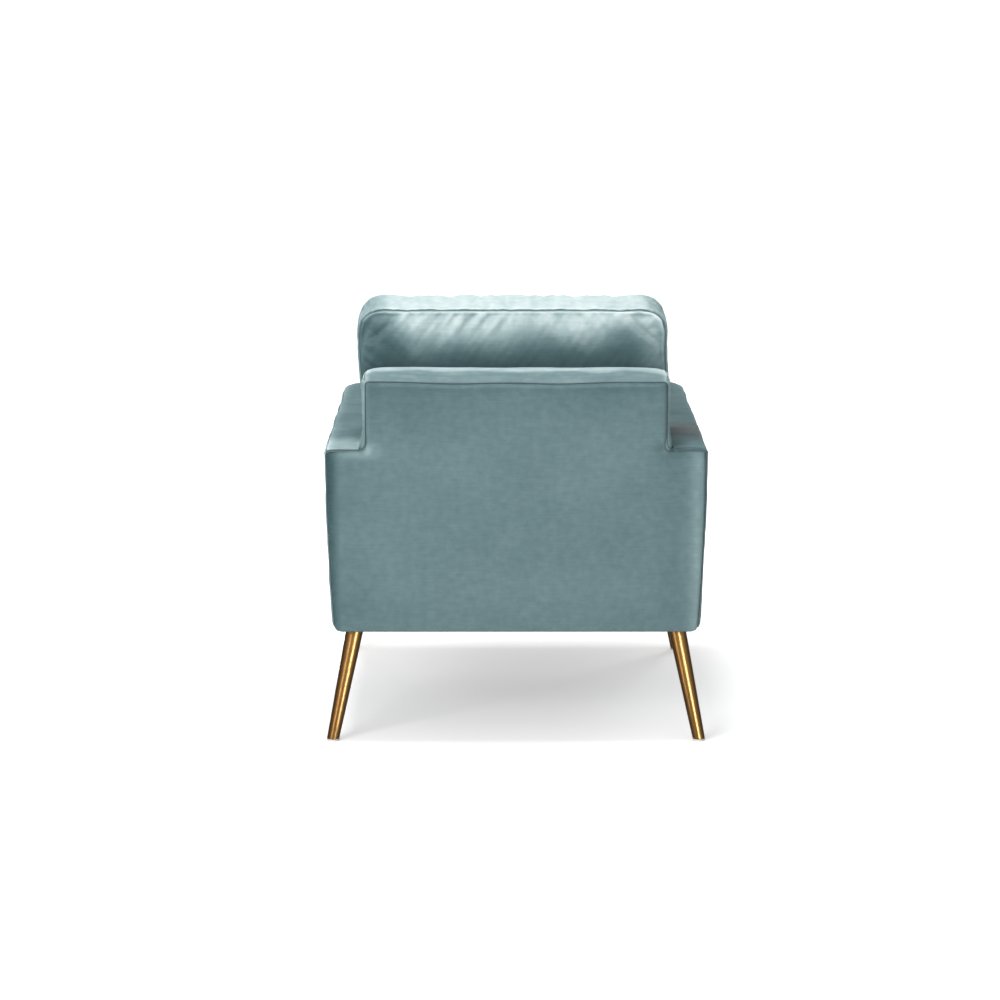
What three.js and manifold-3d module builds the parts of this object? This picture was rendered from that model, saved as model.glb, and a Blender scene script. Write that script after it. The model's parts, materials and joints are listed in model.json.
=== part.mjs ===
// Upholstered armchair with loose seat and back cushions, slim track arms and splayed metal legs.
// Millimetres, +Z up, floor at z = 0, origin below the middle of the chair. The chair faces -Y,
// and left and right are the sitter's, so left is +X.
import * as THREE from 'three';
import { mergeVertices } from 'three/addons/utils/BufferGeometryUtils.js';
import Module from 'manifold-3d';

const wasm = await Module();
wasm.setup();

// Whole chair
const chairWidth = 762;
const chairDepth = 800;
const bodyBottom = 233; // underside of the upholstered body
const armTop = 597;
const backTop = 739;
const fit = 0.3; // gap kept between pieces that touch
const cloth = 2; // velvet with its backing
const dustCloth = 1;
const beyond = 600; // past every face of the chair, for cutting tools

// Arms
const armInner = 306; // half the width between the arms
const outerFace = [[368, bodyBottom], [374, 330], [380, 480]]; // x and z up the outside of an arm
const armCorner = 10;
const armInnerWallBottom = 327.5; // the inside cloth is tucked in just above the rails
const armFrontWall = 12; // the inside wall is whole this far back

// Back
const backHalf = 302;
const backCorner = 12;
const insideBackFoot = { y: 206, z: 341 }; // where the inside back meets the seat
const rake = THREE.MathUtils.degToRad(9.4);
const rearPadding = 8;
const notchRound = 4; // rear panel's inner corners above the arms
const panelFootRound = 6;

// Timber
const frameBottom = 237.1;
const railTop = 326;
const railThick = 30;
const timberInner = 311; // inner faces of the posts and side rails
const timberOuter = 355;
const timberEnd = 385; // front and rear faces of the timber
const postDepth = 60;
const armRailBottom = 520;
const armRailTop = 572;
const stileInner = 258;
const stileOuter = 294;
const stileTop = 722;
const padFront = 24; // foam on the inside back
const blockSide = 80; // corner blocks
const blockDrop = 10; // how far their tops are below the rails
const stileHeel = 16;
const topRailDeep = 24;
const lowRailBottom = 380;
const lowRailTop = 430;

// Springs and webbing
const springCount = 4;
const springPitch = 140;
const springSwing = 26;
const springWaves = 6;
const springWire = 2; // radius
const springEnd = 372;
const webCount = 3;
const webPitch = 165;
const webWidth = 50;
const webThick = 1.6;
const webGap = 1; // behind the foam
const webRoom = 3; // between the foam and the timber
const webFoot = 6;
const webHead = 4;
const tieRadius = 1.5;
const tieOverhang = 10;

// Seat deck
const deckTop = 340;
const deckRear = 204;
const deckHalf = 305.4;
const frontRailFace = 396; // the front rail stands back a little from the arms
const deckSpringRoom = 5;
const deckPadInset = 1;
const bandDepth = 70; // velvet on top of the front rail
const bandOuterRound = 6;
const bandInnerRound = 4;
const railPadRound = 5;

// Legs
const legTopRadius = 18;
const legFootRadius = 12.5;
const legTopCentre = { x: 323, y: 345 };
const legFootCentre = { x: 369, y: 384 };
const glideHeight = 4;
const glideRadius = 14;
const studRadius = 4;
const studLength = 26;
const studRoot = 4; // length inside the leg
const postHoleGap = 1.5;
const dustHoleRadius = 7;
const dustInset = 5;
const plateSide = 60;
const plateThick = 2.5;

// Cushions
const seatCushion = { half: 303, front: -398, rear: 200, thick: 140, corner: 26, edge: 14 };
const backCushion = {
  lowHalf: 299, // between the arms
  highHalf: 313, // above them
  step: 122, // height up the cushion where it widens
  height: 376,
  thick: 150,
  widening: 20, // height over which it does
  footCorner: 26,
  stepCorner: 12,
  corner: 52,
  edge: 20,
  foot: { y: 226.5, z: 486 },
};
const zip = {
  seatLength: 540,
  backLength: 480,
  slotHalf: 4.5,
  tapePastSlot: 4,
  groovePastSlot: 6,
  grooveDeep: 6,
  grooveRoom: 1,
  tapeHalf: 9,
  tapeThick: 1.5,
  sliderLength: 14,
  sliderHalf: 3.6,
  sliderThick: 3.2,
  tabLength: 22,
  tabThick: 1.2,
  tabHalf: 2.6,
  tabLap: 2,
  endRoom: 8,
};

const velvet = { color: 0x7d9da1, roughness: 0.75, metalness: 0 };
const foam = { color: 0xe6dcc0, roughness: 0.95, metalness: 0 };
const timber = { color: 0xb08a5b, roughness: 0.8, metalness: 0 };
const springSteel = { color: 0x6f7377, roughness: 0.4, metalness: 1 };
const webbing = { color: 0x8d7a55, roughness: 0.9, metalness: 0 };
const blackCloth = { color: 0x1b1b1d, roughness: 0.95, metalness: 0 };
const brass = { color: 0xb08d4a, roughness: 0.35, metalness: 1 };
const zincPlate = { color: 0xa7a9a8, roughness: 0.45, metalness: 1 };
const greyPlastic = { color: 0xb9b9b4, roughness: 0.6, metalness: 0 };
const zipTape = { color: 0x5f7d83, roughness: 0.8, metalness: 0 };
const nickel = { color: 0xc2c0b8, roughness: 0.3, metalness: 1 };

const chair = new THREE.Group();

function addPiece(name, geometry, finish, parent = chair) {
  const mesh = new THREE.Mesh(geometry, new THREE.MeshStandardMaterial(finish));
  mesh.name = name;
  parent.add(mesh);
}

function toSolid(geometry) {
  const bare = geometry.clone();
  bare.deleteAttribute('normal');
  bare.deleteAttribute('uv');
  const merged = mergeVertices(bare, 1e-4);
  return new wasm.Manifold(new wasm.Mesh({
    numProp: 3,
    vertProperties: Float32Array.from(merged.attributes.position.array),
    triVerts: Uint32Array.from(merged.index.array),
  }));
}

function toGeometry(solid) {
  const mesh = solid.getMesh();
  const geometry = new THREE.BufferGeometry();
  geometry.setAttribute('position', new THREE.BufferAttribute(mesh.vertProperties, 3));
  geometry.setIndex(new THREE.BufferAttribute(mesh.triVerts, 1));
  geometry.computeVertexNormals();
  return geometry;
}

function cut(geometry, ...tools) {
  return toGeometry(tools.reduce((solid, tool) => solid.subtract(toSolid(tool)), toSolid(geometry)));
}

function block(fromX, toX, fromY, toY, fromZ, toZ) {
  const geometry = new THREE.BoxGeometry(Math.abs(toX - fromX), Math.abs(toY - fromY), Math.abs(toZ - fromZ));
  return geometry.translate((fromX + toX) / 2, (fromY + toY) / 2, (fromZ + toZ) / 2);
}

// A closed outline through corners [u, v, radius], each rounded by its own radius.
function outline(corners) {
  const shape = new THREE.Shape();
  corners.forEach(([u, v, radius = 0], i) => {
    const corner = new THREE.Vector2(u, v);
    const before = new THREE.Vector2(...corners.at(i - 1));
    const after = new THREE.Vector2(...corners[(i + 1) % corners.length]);
    const start = corner.clone().lerp(before, radius / corner.distanceTo(before));
    const end = corner.clone().lerp(after, radius / corner.distanceTo(after));
    if (i === 0) {
      shape.moveTo(start.x, start.y);
    } else {
      shape.lineTo(start.x, start.y);
    }
    if (radius > 0) {
      shape.quadraticCurveTo(u, v, end.x, end.y);
    }
  });
  shape.closePath();
  return shape;
}

function extrude(shape, depth, edge = 0) {
  const geometry = new THREE.ExtrudeGeometry(shape, {
    depth: depth - 2 * edge,
    curveSegments: 4,
    bevelEnabled: edge > 0,
    bevelThickness: edge,
    bevelSize: edge,
    bevelOffset: -edge,
    bevelSegments: 3,
  });
  return geometry.translate(0, 0, edge);
}

const axisX = new THREE.Vector3(1, 0, 0);
const axisY = new THREE.Vector3(0, 1, 0);
const axisZ = new THREE.Vector3(0, 0, 1);
const profileToX = new THREE.Matrix4().makeBasis(axisY, axisZ, axisX);
const profileToY = new THREE.Matrix4().makeBasis(axisX, axisZ, axisY.clone().negate());

// Outline in y and z, swept from one x to a larger one.
function alongX(shape, fromX, toX) {
  return extrude(shape, toX - fromX).applyMatrix4(profileToX).translate(fromX, 0, 0);
}

// Outline in x and z, swept from one y back to a smaller one.
function alongY(shape, rearY, frontY, edge = 0) {
  return extrude(shape, rearY - frontY, edge).applyMatrix4(profileToY).translate(0, rearY, 0);
}

// The inside back's sloping face, at a height and a depth behind the cloth.
function slopeY(z, behind = 0) {
  return insideBackFoot.y + (z - insideBackFoot.z) * Math.tan(rake) + behind / Math.cos(rake);
}

function drilled(geometry, x, y, radius) {
  const drill = new THREE.CylinderGeometry(radius, radius, 2 * studLength, 20);
  drill.rotateX(Math.PI / 2).translate(x, y, bodyBottom);
  return cut(geometry, drill);
}

function armShape(side, inset) {
  const bottom = bodyBottom + (inset > 0 ? dustCloth + fit : 0);
  return outline([
    [side * (armInner + inset), bottom],
    [side * (armInner + inset), armTop - inset, armCorner - inset],
    [side * (chairWidth / 2 - inset), armTop - inset, armCorner - inset],
    ...outerFace.toReversed().map(([x, z]) => [side * (x - inset), Math.max(z, bottom)]),
  ]);
}

function addArm(sideName, side) {
  const front = -chairDepth / 2;
  const rear = chairDepth / 2 - cloth - 2 * fit - rearPadding;
  const foamInset = cloth + fit;

  // the inside wall stops above the rails, so they can run through to the posts
  const railWay = block(
    0, side * (timberInner - fit), front + armFrontWall, beyond, 0, armInnerWallBottom,
  );
  const skinHollow = alongY(armShape(side, cloth), beyond, front + cloth);
  const below = block(-beyond, beyond, front + cloth, beyond, 0, bodyBottom + cloth);
  const skin = alongY(armShape(side, 0), rear, front);
  addPiece(`${sideName}_arm_cover`, cut(skin, skinHollow, railWay, below), velvet);

  const frameWay = block(
    side * (timberInner - fit), side * (timberOuter + fit), -timberEnd - fit, beyond, 0, armRailTop + fit,
  );
  const foamBlock = alongY(armShape(side, foamInset), rear, front + foamInset);
  addPiece(`${sideName}_arm_padding`, cut(foamBlock, frameWay, railWay), foam);

  const railX = [side * timberInner, side * timberOuter];
  const armRail = block(...railX, -timberEnd, timberEnd, armRailBottom, armRailTop);
  addPiece(`${sideName}_arm_rail`, armRail, timber);
}

function addSeatFrame() {
  const innerEnd = timberEnd - postDepth;
  for (const [sideName, side] of [['left', 1], ['right', -1]]) {
    for (const [endName, end] of [['front', -1], ['rear', 1]]) {
      const post = block(
        side * timberInner, side * timberOuter, end * innerEnd, end * timberEnd, frameBottom, armRailBottom - fit,
      );
      const stud = [side * legTopCentre.x, end * legTopCentre.y];
      addPiece(`${sideName}_${endName}_post`, drilled(post, ...stud, studRadius + postHoleGap), timber);

      const cornerX = side * (timberInner - fit);
      const cornerY = end * (timberEnd - railThick - fit);
      const triangle = outline([
        [cornerX, cornerY],
        [cornerX - side * blockSide, cornerY],
        [cornerX, cornerY - end * blockSide],
      ]);
      const glueBlock = extrude(triangle, railTop - frameBottom - blockDrop).translate(0, 0, frameBottom);
      addPiece(`${sideName}_${endName}_corner_block`, glueBlock, timber);
    }
    const sideRail = block(
      side * timberInner, side * (timberInner + railThick), fit - innerEnd, innerEnd - fit, frameBottom, railTop,
    );
    addPiece(`${sideName}_seat_rail`, sideRail, timber);
  }
  for (const [endName, end] of [['front', -1], ['rear', 1]]) {
    const reach = timberInner - fit;
    const rail = block(-reach, reach, end * (timberEnd - railThick), end * timberEnd, frameBottom, railTop);
    addPiece(`${endName}_seat_rail`, rail, timber);
  }
}

function addSprings() {
  const middle = (springCount - 1) / 2;
  const height = railTop + fit + springWire;
  for (let i = 0; i < springCount; i += 1) {
    const across = (i - middle) * springPitch;
    const points = [];
    for (let step = 0; step <= 2 * springWaves; step += 1) {
      const swing = step % 2 === 0 ? -springSwing : springSwing;
      points.push(new THREE.Vector3(across + swing, -springEnd + (step * springEnd) / springWaves, height));
    }
    const wire = new THREE.CatmullRomCurve3(points, false, 'centripetal');
    const section = new THREE.Shape(new THREE.Path().absarc(0, 0, springWire, 0, 2 * Math.PI).getPoints(3));
    const spring = new THREE.ExtrudeGeometry(section, { extrudePath: wire, steps: 8 * springWaves });
    addPiece(`seat_spring_${i + 1}`, spring, springSteel);
  }
  const reach = middle * springPitch + springSwing + tieOverhang;
  const tie = new THREE.CylinderGeometry(tieRadius, tieRadius, 2 * reach, 8);
  tie.rotateZ(Math.PI / 2).translate(0, 0, railTop - tieRadius);
  addPiece('spring_tie_wire', tie, springSteel);
}

function addSeatDeck() {
  const front = -frontRailFace;
  const padRear = deckRear - deckPadInset;
  const padFrontY = -timberEnd - fit;
  const padTop = deckTop - cloth - fit;
  const deckPad = block(-deckHalf, deckHalf, padFrontY, padRear, railTop + deckSpringRoom, padTop);
  addPiece('seat_deck_pad', deckPad, foam);

  const bandRear = front + bandDepth;
  const band = outline([
    [front, bodyBottom], [front, deckTop, bandOuterRound], [bandRear, deckTop], [bandRear, deckTop - cloth],
    [front + cloth, deckTop - cloth, bandInnerRound], [front + cloth, bodyBottom],
  ]);
  addPiece('front_rail_cover', alongX(band, -deckHalf, deckHalf), velvet);
  const padFace = front + cloth + fit;
  const padBottom = bodyBottom + dustCloth + fit;
  const facing = outline([
    [padFace, padBottom],
    [padFace, padTop, railPadRound],
    [padFrontY - fit, padTop],
    [padFrontY - fit, padBottom],
  ]);
  addPiece('front_rail_padding', alongX(facing, -deckHalf, deckHalf), foam);
  const deckCloth = block(-deckHalf, deckHalf, bandRear + fit, deckRear, deckTop - cloth, deckTop);
  addPiece('seat_deck_cover', deckCloth, blackCloth);
}

function addBackFrame() {
  const stileFront = cloth + fit + padFront + fit;
  const railFront = stileFront + webRoom;
  const rear = timberEnd + cloth;
  const foot = railTop + fit;
  for (const [sideName, side] of [['left', 1], ['right', -1]]) {
    const board = outline([
      [slopeY(foot + stileHeel, railFront), foot + stileHeel],
      [rear - railThick, foot],
      [rear, foot],
      [rear, stileTop],
      [slopeY(stileTop, railFront), stileTop],
    ]);
    const fromX = side > 0 ? stileInner : -stileOuter;
    addPiece(`${sideName}_back_stile`, alongX(board, fromX, fromX + stileOuter - stileInner), timber);
  }
  const reach = stileInner - fit;
  const topBottom = stileTop - topRailDeep;
  const topRail = outline([
    [slopeY(topBottom, railFront), topBottom], [rear, topBottom],
    [rear, stileTop], [slopeY(stileTop, railFront), stileTop],
  ]);
  addPiece('back_top_rail', alongX(topRail, -reach, reach), timber);
  const lowRail = outline([
    [slopeY(lowRailBottom, railFront), lowRailBottom],
    [slopeY(lowRailBottom, railFront + railThick), lowRailBottom],
    [slopeY(lowRailTop, railFront + railThick), lowRailTop],
    [slopeY(lowRailTop, railFront), lowRailTop],
  ]);
  addPiece('back_lower_rail', alongX(lowRail, -reach, reach), timber);

  const webFace = stileFront + webGap;
  for (let i = 0; i < webCount; i += 1) {
    const across = (i - (webCount - 1) / 2) * webPitch;
    const low = lowRailBottom + webFoot;
    const high = stileTop - webHead;
    const band = outline([
      [slopeY(low, webFace), low], [slopeY(low, webFace + webThick), low],
      [slopeY(high, webFace + webThick), high], [slopeY(high, webFace), high],
    ]);
    addPiece(`back_web_${i + 1}`, alongX(band, across - webWidth / 2, across + webWidth / 2), webbing);
  }
}

// The upholstered back above the deck, drawn in from its outer faces by an inset.
function backBlock(inset, rear) {
  const top = backTop - inset;
  const bottom = insideBackFoot.z;
  const half = backHalf - inset;
  const corner = backCorner - inset;
  const side = outline([
    [slopeY(bottom, inset), bottom], [rear, bottom], [rear, top], [slopeY(top, inset), top, corner],
  ]);
  const face = outline([[-half, bottom], [-half, top, corner], [half, top, corner], [half, bottom]]);
  return toSolid(alongX(side, -half, half)).intersect(toSolid(alongY(face, rear, 0)));
}

function addInsideBack() {
  const rear = chairDepth / 2 - cloth - 2 * fit - rearPadding;
  const foamInset = cloth + fit;
  const foot = insideBackFoot.z;
  const below = toSolid(block(-beyond, beyond, slopeY(foot, cloth), beyond, 0, foot + 1));
  const skin = backBlock(0, rear).subtract(backBlock(cloth, beyond)).subtract(below);
  addPiece('inside_back_cover', toGeometry(skin), velvet);

  const frameFront = foamInset + padFront;
  const top = stileTop + fit;
  const hollow = outline([
    [slopeY(frameBottom, frameFront), frameBottom],
    [beyond, frameBottom],
    [beyond, top],
    [slopeY(top, frameFront), top],
  ]);
  const reach = stileOuter + fit;
  const padding = backBlock(foamInset, rear).subtract(toSolid(alongX(hollow, -reach, reach)));
  addPiece('inside_back_padding', toGeometry(padding), foam);
}

// The outside back is one panel: as wide as the chair up to the arms, then as wide as the back.
function rearPanel(inset) {
  const half = [];
  half.push([backHalf - inset, backTop - inset, backCorner]);
  half.push([backHalf - inset, armTop - inset, notchRound]);
  half.push([chairWidth / 2 - inset, armTop - inset, armCorner]);
  outerFace.toReversed().forEach(([x, z], i) => {
    half.push(i === outerFace.length - 1 ? [x - inset, z + inset, panelFootRound] : [x - inset, z]);
  });
  const mirrored = half.toReversed().map(([x, z, radius]) => [-x, z, radius]);
  return outline([...half, ...mirrored]);
}

function addOutsideBack() {
  const rear = chairDepth / 2;
  const padRear = rear - cloth - fit;
  addPiece('outside_back_cover', alongY(rearPanel(0), rear, rear - cloth), velvet);
  addPiece('outside_back_padding', alongY(rearPanel(cloth), padRear, padRear - rearPadding), foam);
}

function addUnderside() {
  const half = timberOuter - dustInset;
  let sheet = block(-half, half, cloth - timberEnd, timberEnd, bodyBottom, bodyBottom + dustCloth);
  for (const side of [1, -1]) {
    for (const end of [1, -1]) {
      sheet = drilled(sheet, side * legTopCentre.x, end * legTopCentre.y, dustHoleRadius);
    }
  }
  addPiece('dust_cover', sheet, blackCloth);
}

function addLeg(sideName, side, endName, end) {
  const low = glideHeight + fit;
  const high = bodyBottom - fit;
  const length = high - low;
  const cone = new THREE.CylinderGeometry(legTopRadius, legFootRadius, length, 28);
  cone.rotateX(Math.PI / 2).translate(0, 0, length / 2);
  const leanX = (legTopCentre.x - legFootCentre.x) / length;
  const leanY = (legTopCentre.y - legFootCentre.y) / length;
  cone.applyMatrix4(new THREE.Matrix4().set(
    1, 0, side * leanX, side * legFootCentre.x,
    0, 1, end * leanY, end * legFootCentre.y,
    0, 0, 1, low,
    0, 0, 0, 1,
  ));
  const stud = new THREE.CylinderGeometry(studRadius, studRadius, studLength + studRoot, 16);
  stud.rotateX(Math.PI / 2);
  stud.translate(side * legTopCentre.x, end * legTopCentre.y, high + (studLength - studRoot) / 2);
  addPiece(`${endName}_${sideName}_leg`, toGeometry(toSolid(cone).add(toSolid(stud))), brass);

  const glide = new THREE.CylinderGeometry(glideRadius - 1, glideRadius, glideHeight, 24);
  glide.rotateX(Math.PI / 2).translate(side * legFootCentre.x, end * legFootCentre.y, glideHeight / 2);
  addPiece(`${endName}_${sideName}_glide`, glide, greyPlastic);

  const plateBottom = bodyBottom + dustCloth + fit;
  const centre = [side * legTopCentre.x, end * legTopCentre.y];
  const plate = block(
    centre[0] - plateSide / 2, centre[0] + plateSide / 2, centre[1] - plateSide / 2, centre[1] + plateSide / 2,
    plateBottom, plateBottom + plateThick,
  );
  addPiece(`${endName}_${sideName}_leg_plate`, drilled(plate, ...centre, studRadius + fit), zincPlate);
}

function seatCushionSolid(inset) {
  const { half, front, rear, thick, corner, edge } = seatCushion;
  const right = half - inset;
  const plan = outline([
    [-right, front + inset, corner], [right, front + inset, corner],
    [right, rear - inset, corner], [-right, rear - inset, corner],
  ]);
  return extrude(plan, thick - 2 * inset, edge).translate(0, 0, inset);
}

// In the cushion's own upright frame: rear face at y = 0, bottom at z = 0.
function backCushionSolid(inset) {
  const { lowHalf, highHalf, step, widening, height, thick } = backCushion;
  const { footCorner, stepCorner, corner, edge } = backCushion;
  const half = [
    [lowHalf - inset, inset, footCorner],
    [lowHalf - inset, step, stepCorner],
    [highHalf - inset, step + widening, stepCorner],
    [highHalf - inset, height - inset, corner],
  ];
  const mirrored = half.toReversed().map(([x, z, radius]) => [-x, z, radius]);
  return alongY(outline([...half, ...mirrored]), -inset, inset - thick, edge);
}

// A cushion is a cover with a slot, a zip behind the slot, and a foam core with room for the zip.
// zipBlock(halfLength, shift, halfAcross, fromOut, toOut) places a block on the boxing that has the zip.
function addCushion(name, solidAt, zipLength, zipBlock, parent) {
  const slot = zipBlock(zipLength / 2, 0, zip.slotHalf, -2 * cloth, cloth);
  addPiece(`${name}_cushion_cover`, cut(solidAt(0), solidAt(cloth), slot), velvet, parent);

  const groove = zipBlock(
    zipLength / 2 + zip.groovePastSlot, 0, zip.tapeHalf + zip.grooveRoom, -cloth - zip.grooveDeep, cloth,
  );
  addPiece(`${name}_cushion_core`, cut(solidAt(cloth + fit), groove), foam, parent);

  const tapeOut = -cloth - fit;
  const tapeReach = zipLength / 2 + zip.tapePastSlot;
  const tape = zipBlock(tapeReach, 0, zip.tapeHalf, tapeOut - zip.tapeThick, tapeOut);
  addPiece(`${name}_zip_chain`, tape, zipTape, parent);

  const sliderIn = tapeOut + fit;
  const sliderMiddle = zip.endRoom + zip.sliderLength / 2 - zipLength / 2;
  const sliderOut = sliderIn + zip.sliderThick;
  const slider = zipBlock(zip.sliderLength / 2, sliderMiddle, zip.sliderHalf, sliderIn, sliderOut);
  const tabMiddle = sliderMiddle + (zip.sliderLength + zip.tabLength) / 2 - zip.tabLap;
  const tabReach = zip.tabLength / 2 + zip.tabLap;
  const tab = zipBlock(tabReach, tabMiddle, zip.tabHalf, sliderOut - zip.tabThick, sliderOut);
  addPiece(`${name}_zip_slider`, toGeometry(toSolid(slider).add(toSolid(tab))), nickel, parent);
}

function addSeatCushion() {
  const holder = new THREE.Group();
  holder.position.z = deckTop + 0.5;
  chair.add(holder);
  const middle = seatCushion.thick / 2;
  const rear = seatCushion.rear;
  const zipBlock = (halfLength, shift, across, fromOut, toOut) => block(
    shift - halfLength, shift + halfLength, rear + fromOut, rear + toOut, middle - across, middle + across,
  );
  addCushion('seat', seatCushionSolid, zip.seatLength, zipBlock, holder);
}

function addBackCushion() {
  const holder = new THREE.Group();
  holder.rotation.x = -rake;
  holder.position.set(0, backCushion.foot.y, backCushion.foot.z);
  chair.add(holder);
  const middle = -backCushion.thick / 2;
  const zipBlock = (halfLength, shift, across, fromOut, toOut) => block(
    shift - halfLength, shift + halfLength, middle - across, middle + across, -toOut, -fromOut,
  );
  addCushion('back', backCushionSolid, zip.backLength, zipBlock, holder);
}

addSeatFrame();
addSprings();
addSeatDeck();
addBackFrame();
addInsideBack();
addOutsideBack();
addUnderside();
for (const [sideName, side] of [['left', 1], ['right', -1]]) {
  addArm(sideName, side);
  addLeg(sideName, side, 'front', -1);
  addLeg(sideName, side, 'rear', 1);
}
addSeatCushion();
addBackCushion();

export default chair;
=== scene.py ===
import bpy
import bmesh
import json
import math
import numpy as np
from mathutils import Matrix, Vector, noise
from mathutils.bvhtree import BVHTree
from mathutils.kdtree import KDTree


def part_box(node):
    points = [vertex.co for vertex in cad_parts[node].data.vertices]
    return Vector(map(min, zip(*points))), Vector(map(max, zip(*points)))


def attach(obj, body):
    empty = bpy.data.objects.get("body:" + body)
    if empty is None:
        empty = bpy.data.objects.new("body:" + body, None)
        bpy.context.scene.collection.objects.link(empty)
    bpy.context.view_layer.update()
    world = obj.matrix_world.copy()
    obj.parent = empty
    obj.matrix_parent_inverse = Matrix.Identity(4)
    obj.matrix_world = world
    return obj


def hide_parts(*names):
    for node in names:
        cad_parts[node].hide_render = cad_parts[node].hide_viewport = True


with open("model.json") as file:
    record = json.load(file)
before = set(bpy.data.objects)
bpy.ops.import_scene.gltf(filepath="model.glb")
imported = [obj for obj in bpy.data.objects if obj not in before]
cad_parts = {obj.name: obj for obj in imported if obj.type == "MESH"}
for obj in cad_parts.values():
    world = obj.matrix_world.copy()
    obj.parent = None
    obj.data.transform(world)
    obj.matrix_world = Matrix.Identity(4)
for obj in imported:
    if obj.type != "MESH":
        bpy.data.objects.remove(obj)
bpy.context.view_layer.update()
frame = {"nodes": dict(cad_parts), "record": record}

# Upholstered armchair. Metres, +Z up, the chair faces -Y and left is the sitter's left, +X.
backTilt = math.radians(9.4)
rng = np.random.default_rng(7)


# ---------- camera, light and floor

cameraView = {
    "place": (0.041, 6.174, 1.610),
    "down": 10.915,   # degrees below the horizon
    "turn": 0.087,
    "lens": 106.8,
    "reach": 400,     # past the far edge of the floor
}
softLight = {
    "horizon": 0.34,
    "zenith": 1.0,
    "farSide": 0.30,     # how bright the room is in front of the chair, as a share of behind it
    # the floor's own glow, painted light, beside the chair and far from it
    "floorGlow": 0.36,
    "floorGlowFar": 0.75,
    "top": {"place": (0.4, 0.1, 4.2), "aim": (0.0, 0.1, 0.5), "size": 1.2, "tall": 1.2, "power": 105},
    "key": {"place": (2.9, 4.4, 2.3), "aim": (0.0, 0.3, 0.45), "size": 2.8, "tall": 2.2, "power": 185,
            "glossy": False},
    "front": {"place": (-2.2, -3.6, 2.2), "aim": (0.0, 0.0, 0.5), "size": 2.0, "tall": 2.0, "power": 60},
    # tall narrow panels, flagged off the cloth, that only draw the streaks down the metal legs
    "strip": {"place": (-1.30, 3.11, 0.3), "aim": (0.0, 0.38, 0.3), "size": 0.55, "tall": 2.4, "power": 60,
              "diffuse": False},
    "warmStrip": {"place": (1.85, 2.37, 0.3), "aim": (0.3, 0.38, 0.3), "size": 0.28, "tall": 2.0, "power": 11,
                  "colour": (1.0, 0.80, 0.58), "diffuse": False},
    "frontStrip": {"place": (1.4, -3.2, 0.5), "aim": (0.0, -0.38, 0.3), "size": 0.55, "tall": 2.2, "power": 36,
                   "diffuse": False},
}


def addCamera():
    camera = bpy.data.objects.new("camera", bpy.data.cameras.new("camera"))
    bpy.context.scene.collection.objects.link(camera)
    camera.data.lens = cameraView["lens"]
    camera.data.clip_end = cameraView["reach"]
    camera.location = cameraView["place"]
    turn = math.radians(180 + cameraView["turn"])
    camera.rotation_euler = (math.radians(90 - cameraView["down"]), 0, -turn)
    bpy.context.scene.camera = camera


def addAreaLight(name, values):
    light = bpy.data.lights.new(name, "AREA")
    light.shape = "RECTANGLE"
    light.energy = values["power"]
    light.size = values["size"]
    light.size_y = values["tall"]
    light.color = values.get("colour", (1, 1, 1))
    holder = bpy.data.objects.new(name, light)
    holder.visible_diffuse = values.get("diffuse", True)
    holder.visible_glossy = values.get("glossy", True)
    bpy.context.scene.collection.objects.link(holder)
    place = Vector(values["place"])
    holder.location = place
    holder.rotation_euler = (Vector(values["aim"]) - place).to_track_quat("-Z", "Y").to_euler()


def addRoomLight():
    # a dome that is brighter overhead and behind the chair, so metal has something darker to show
    world = bpy.data.worlds.new("paleRoom")
    world.use_nodes = True
    add, link = nodeSet(world.node_tree)
    split = add("ShaderNodeSeparateXYZ", {0: add("ShaderNodeTexCoord").outputs["Generated"]})
    height = add("ShaderNodeMapRange", {
        "Value": split.outputs["Z"], "From Max": 0.85,
        "To Min": softLight["horizon"], "To Max": softLight["zenith"],
    }, interpolation_type="SMOOTHSTEP")
    depth = add("ShaderNodeMapRange", {
        "Value": split.outputs["Y"], "From Min": -0.3, "From Max": 0.75, "To Min": softLight["farSide"],
    }, interpolation_type="SMOOTHSTEP")
    both = add("ShaderNodeMath", {0: height.outputs[0], 1: depth.outputs[0]}, operation="MULTIPLY")
    background = world.node_tree.nodes["Background"]
    background.inputs["Color"].default_value = (1, 1, 1, 1)
    link(both.outputs[0], background.inputs["Strength"])
    bpy.context.scene.world = world


def addFloor():
    # white paper that glows by its own emission, painted light; the glow is weaker under the chair, which
    # paints the shadow there darker
    bm = bmesh.new()
    bmesh.ops.create_grid(bm, x_segments=1, y_segments=1, size=150)
    floor = meshObject("floor", bm)
    material, shader, add, link = newMaterial("floorPaper", 0.9, 0.0, {
        "Base Color": (0.80, 0.80, 0.80, 1), "Emission Color": (1, 1, 1, 1),
    })
    reach = add("ShaderNodeVectorMath", {0: add("ShaderNodeTexCoord").outputs["Object"]}, operation="LENGTH")
    glow = add("ShaderNodeMapRange", {
        "Value": reach.outputs["Value"], "From Min": 0.35, "From Max": 1.3,
        "To Min": softLight["floorGlow"], "To Max": softLight["floorGlowFar"],
    }, interpolation_type="SMOOTHSTEP")
    link(glow.outputs[0], shader.inputs["Emission Strength"])
    floor.data.materials.append(material)
    floor.visible_glossy = False
    floor.visible_shadow = False


def addStage():
    addRoomLight()
    addFloor()
    for name in ("top", "key", "front", "strip", "warmStrip", "frontStrip"):
        addAreaLight(name + "Light", softLight[name])
    bpy.context.scene.view_settings.view_transform = "Standard"


# ---------- mesh helpers

def meshObject(name, bm):
    mesh = bpy.data.meshes.new(name)
    bm.to_mesh(mesh)
    bm.free()
    thing = bpy.data.objects.new(name, mesh)
    bpy.context.scene.collection.objects.link(thing)
    return thing


def applyModifiers(thing):
    depsgraph = bpy.context.evaluated_depsgraph_get()
    finished = bpy.data.meshes.new_from_object(thing.evaluated_get(depsgraph))
    thing.modifiers.clear()
    old = thing.data
    thing.data = finished
    bpy.data.meshes.remove(old)


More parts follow.
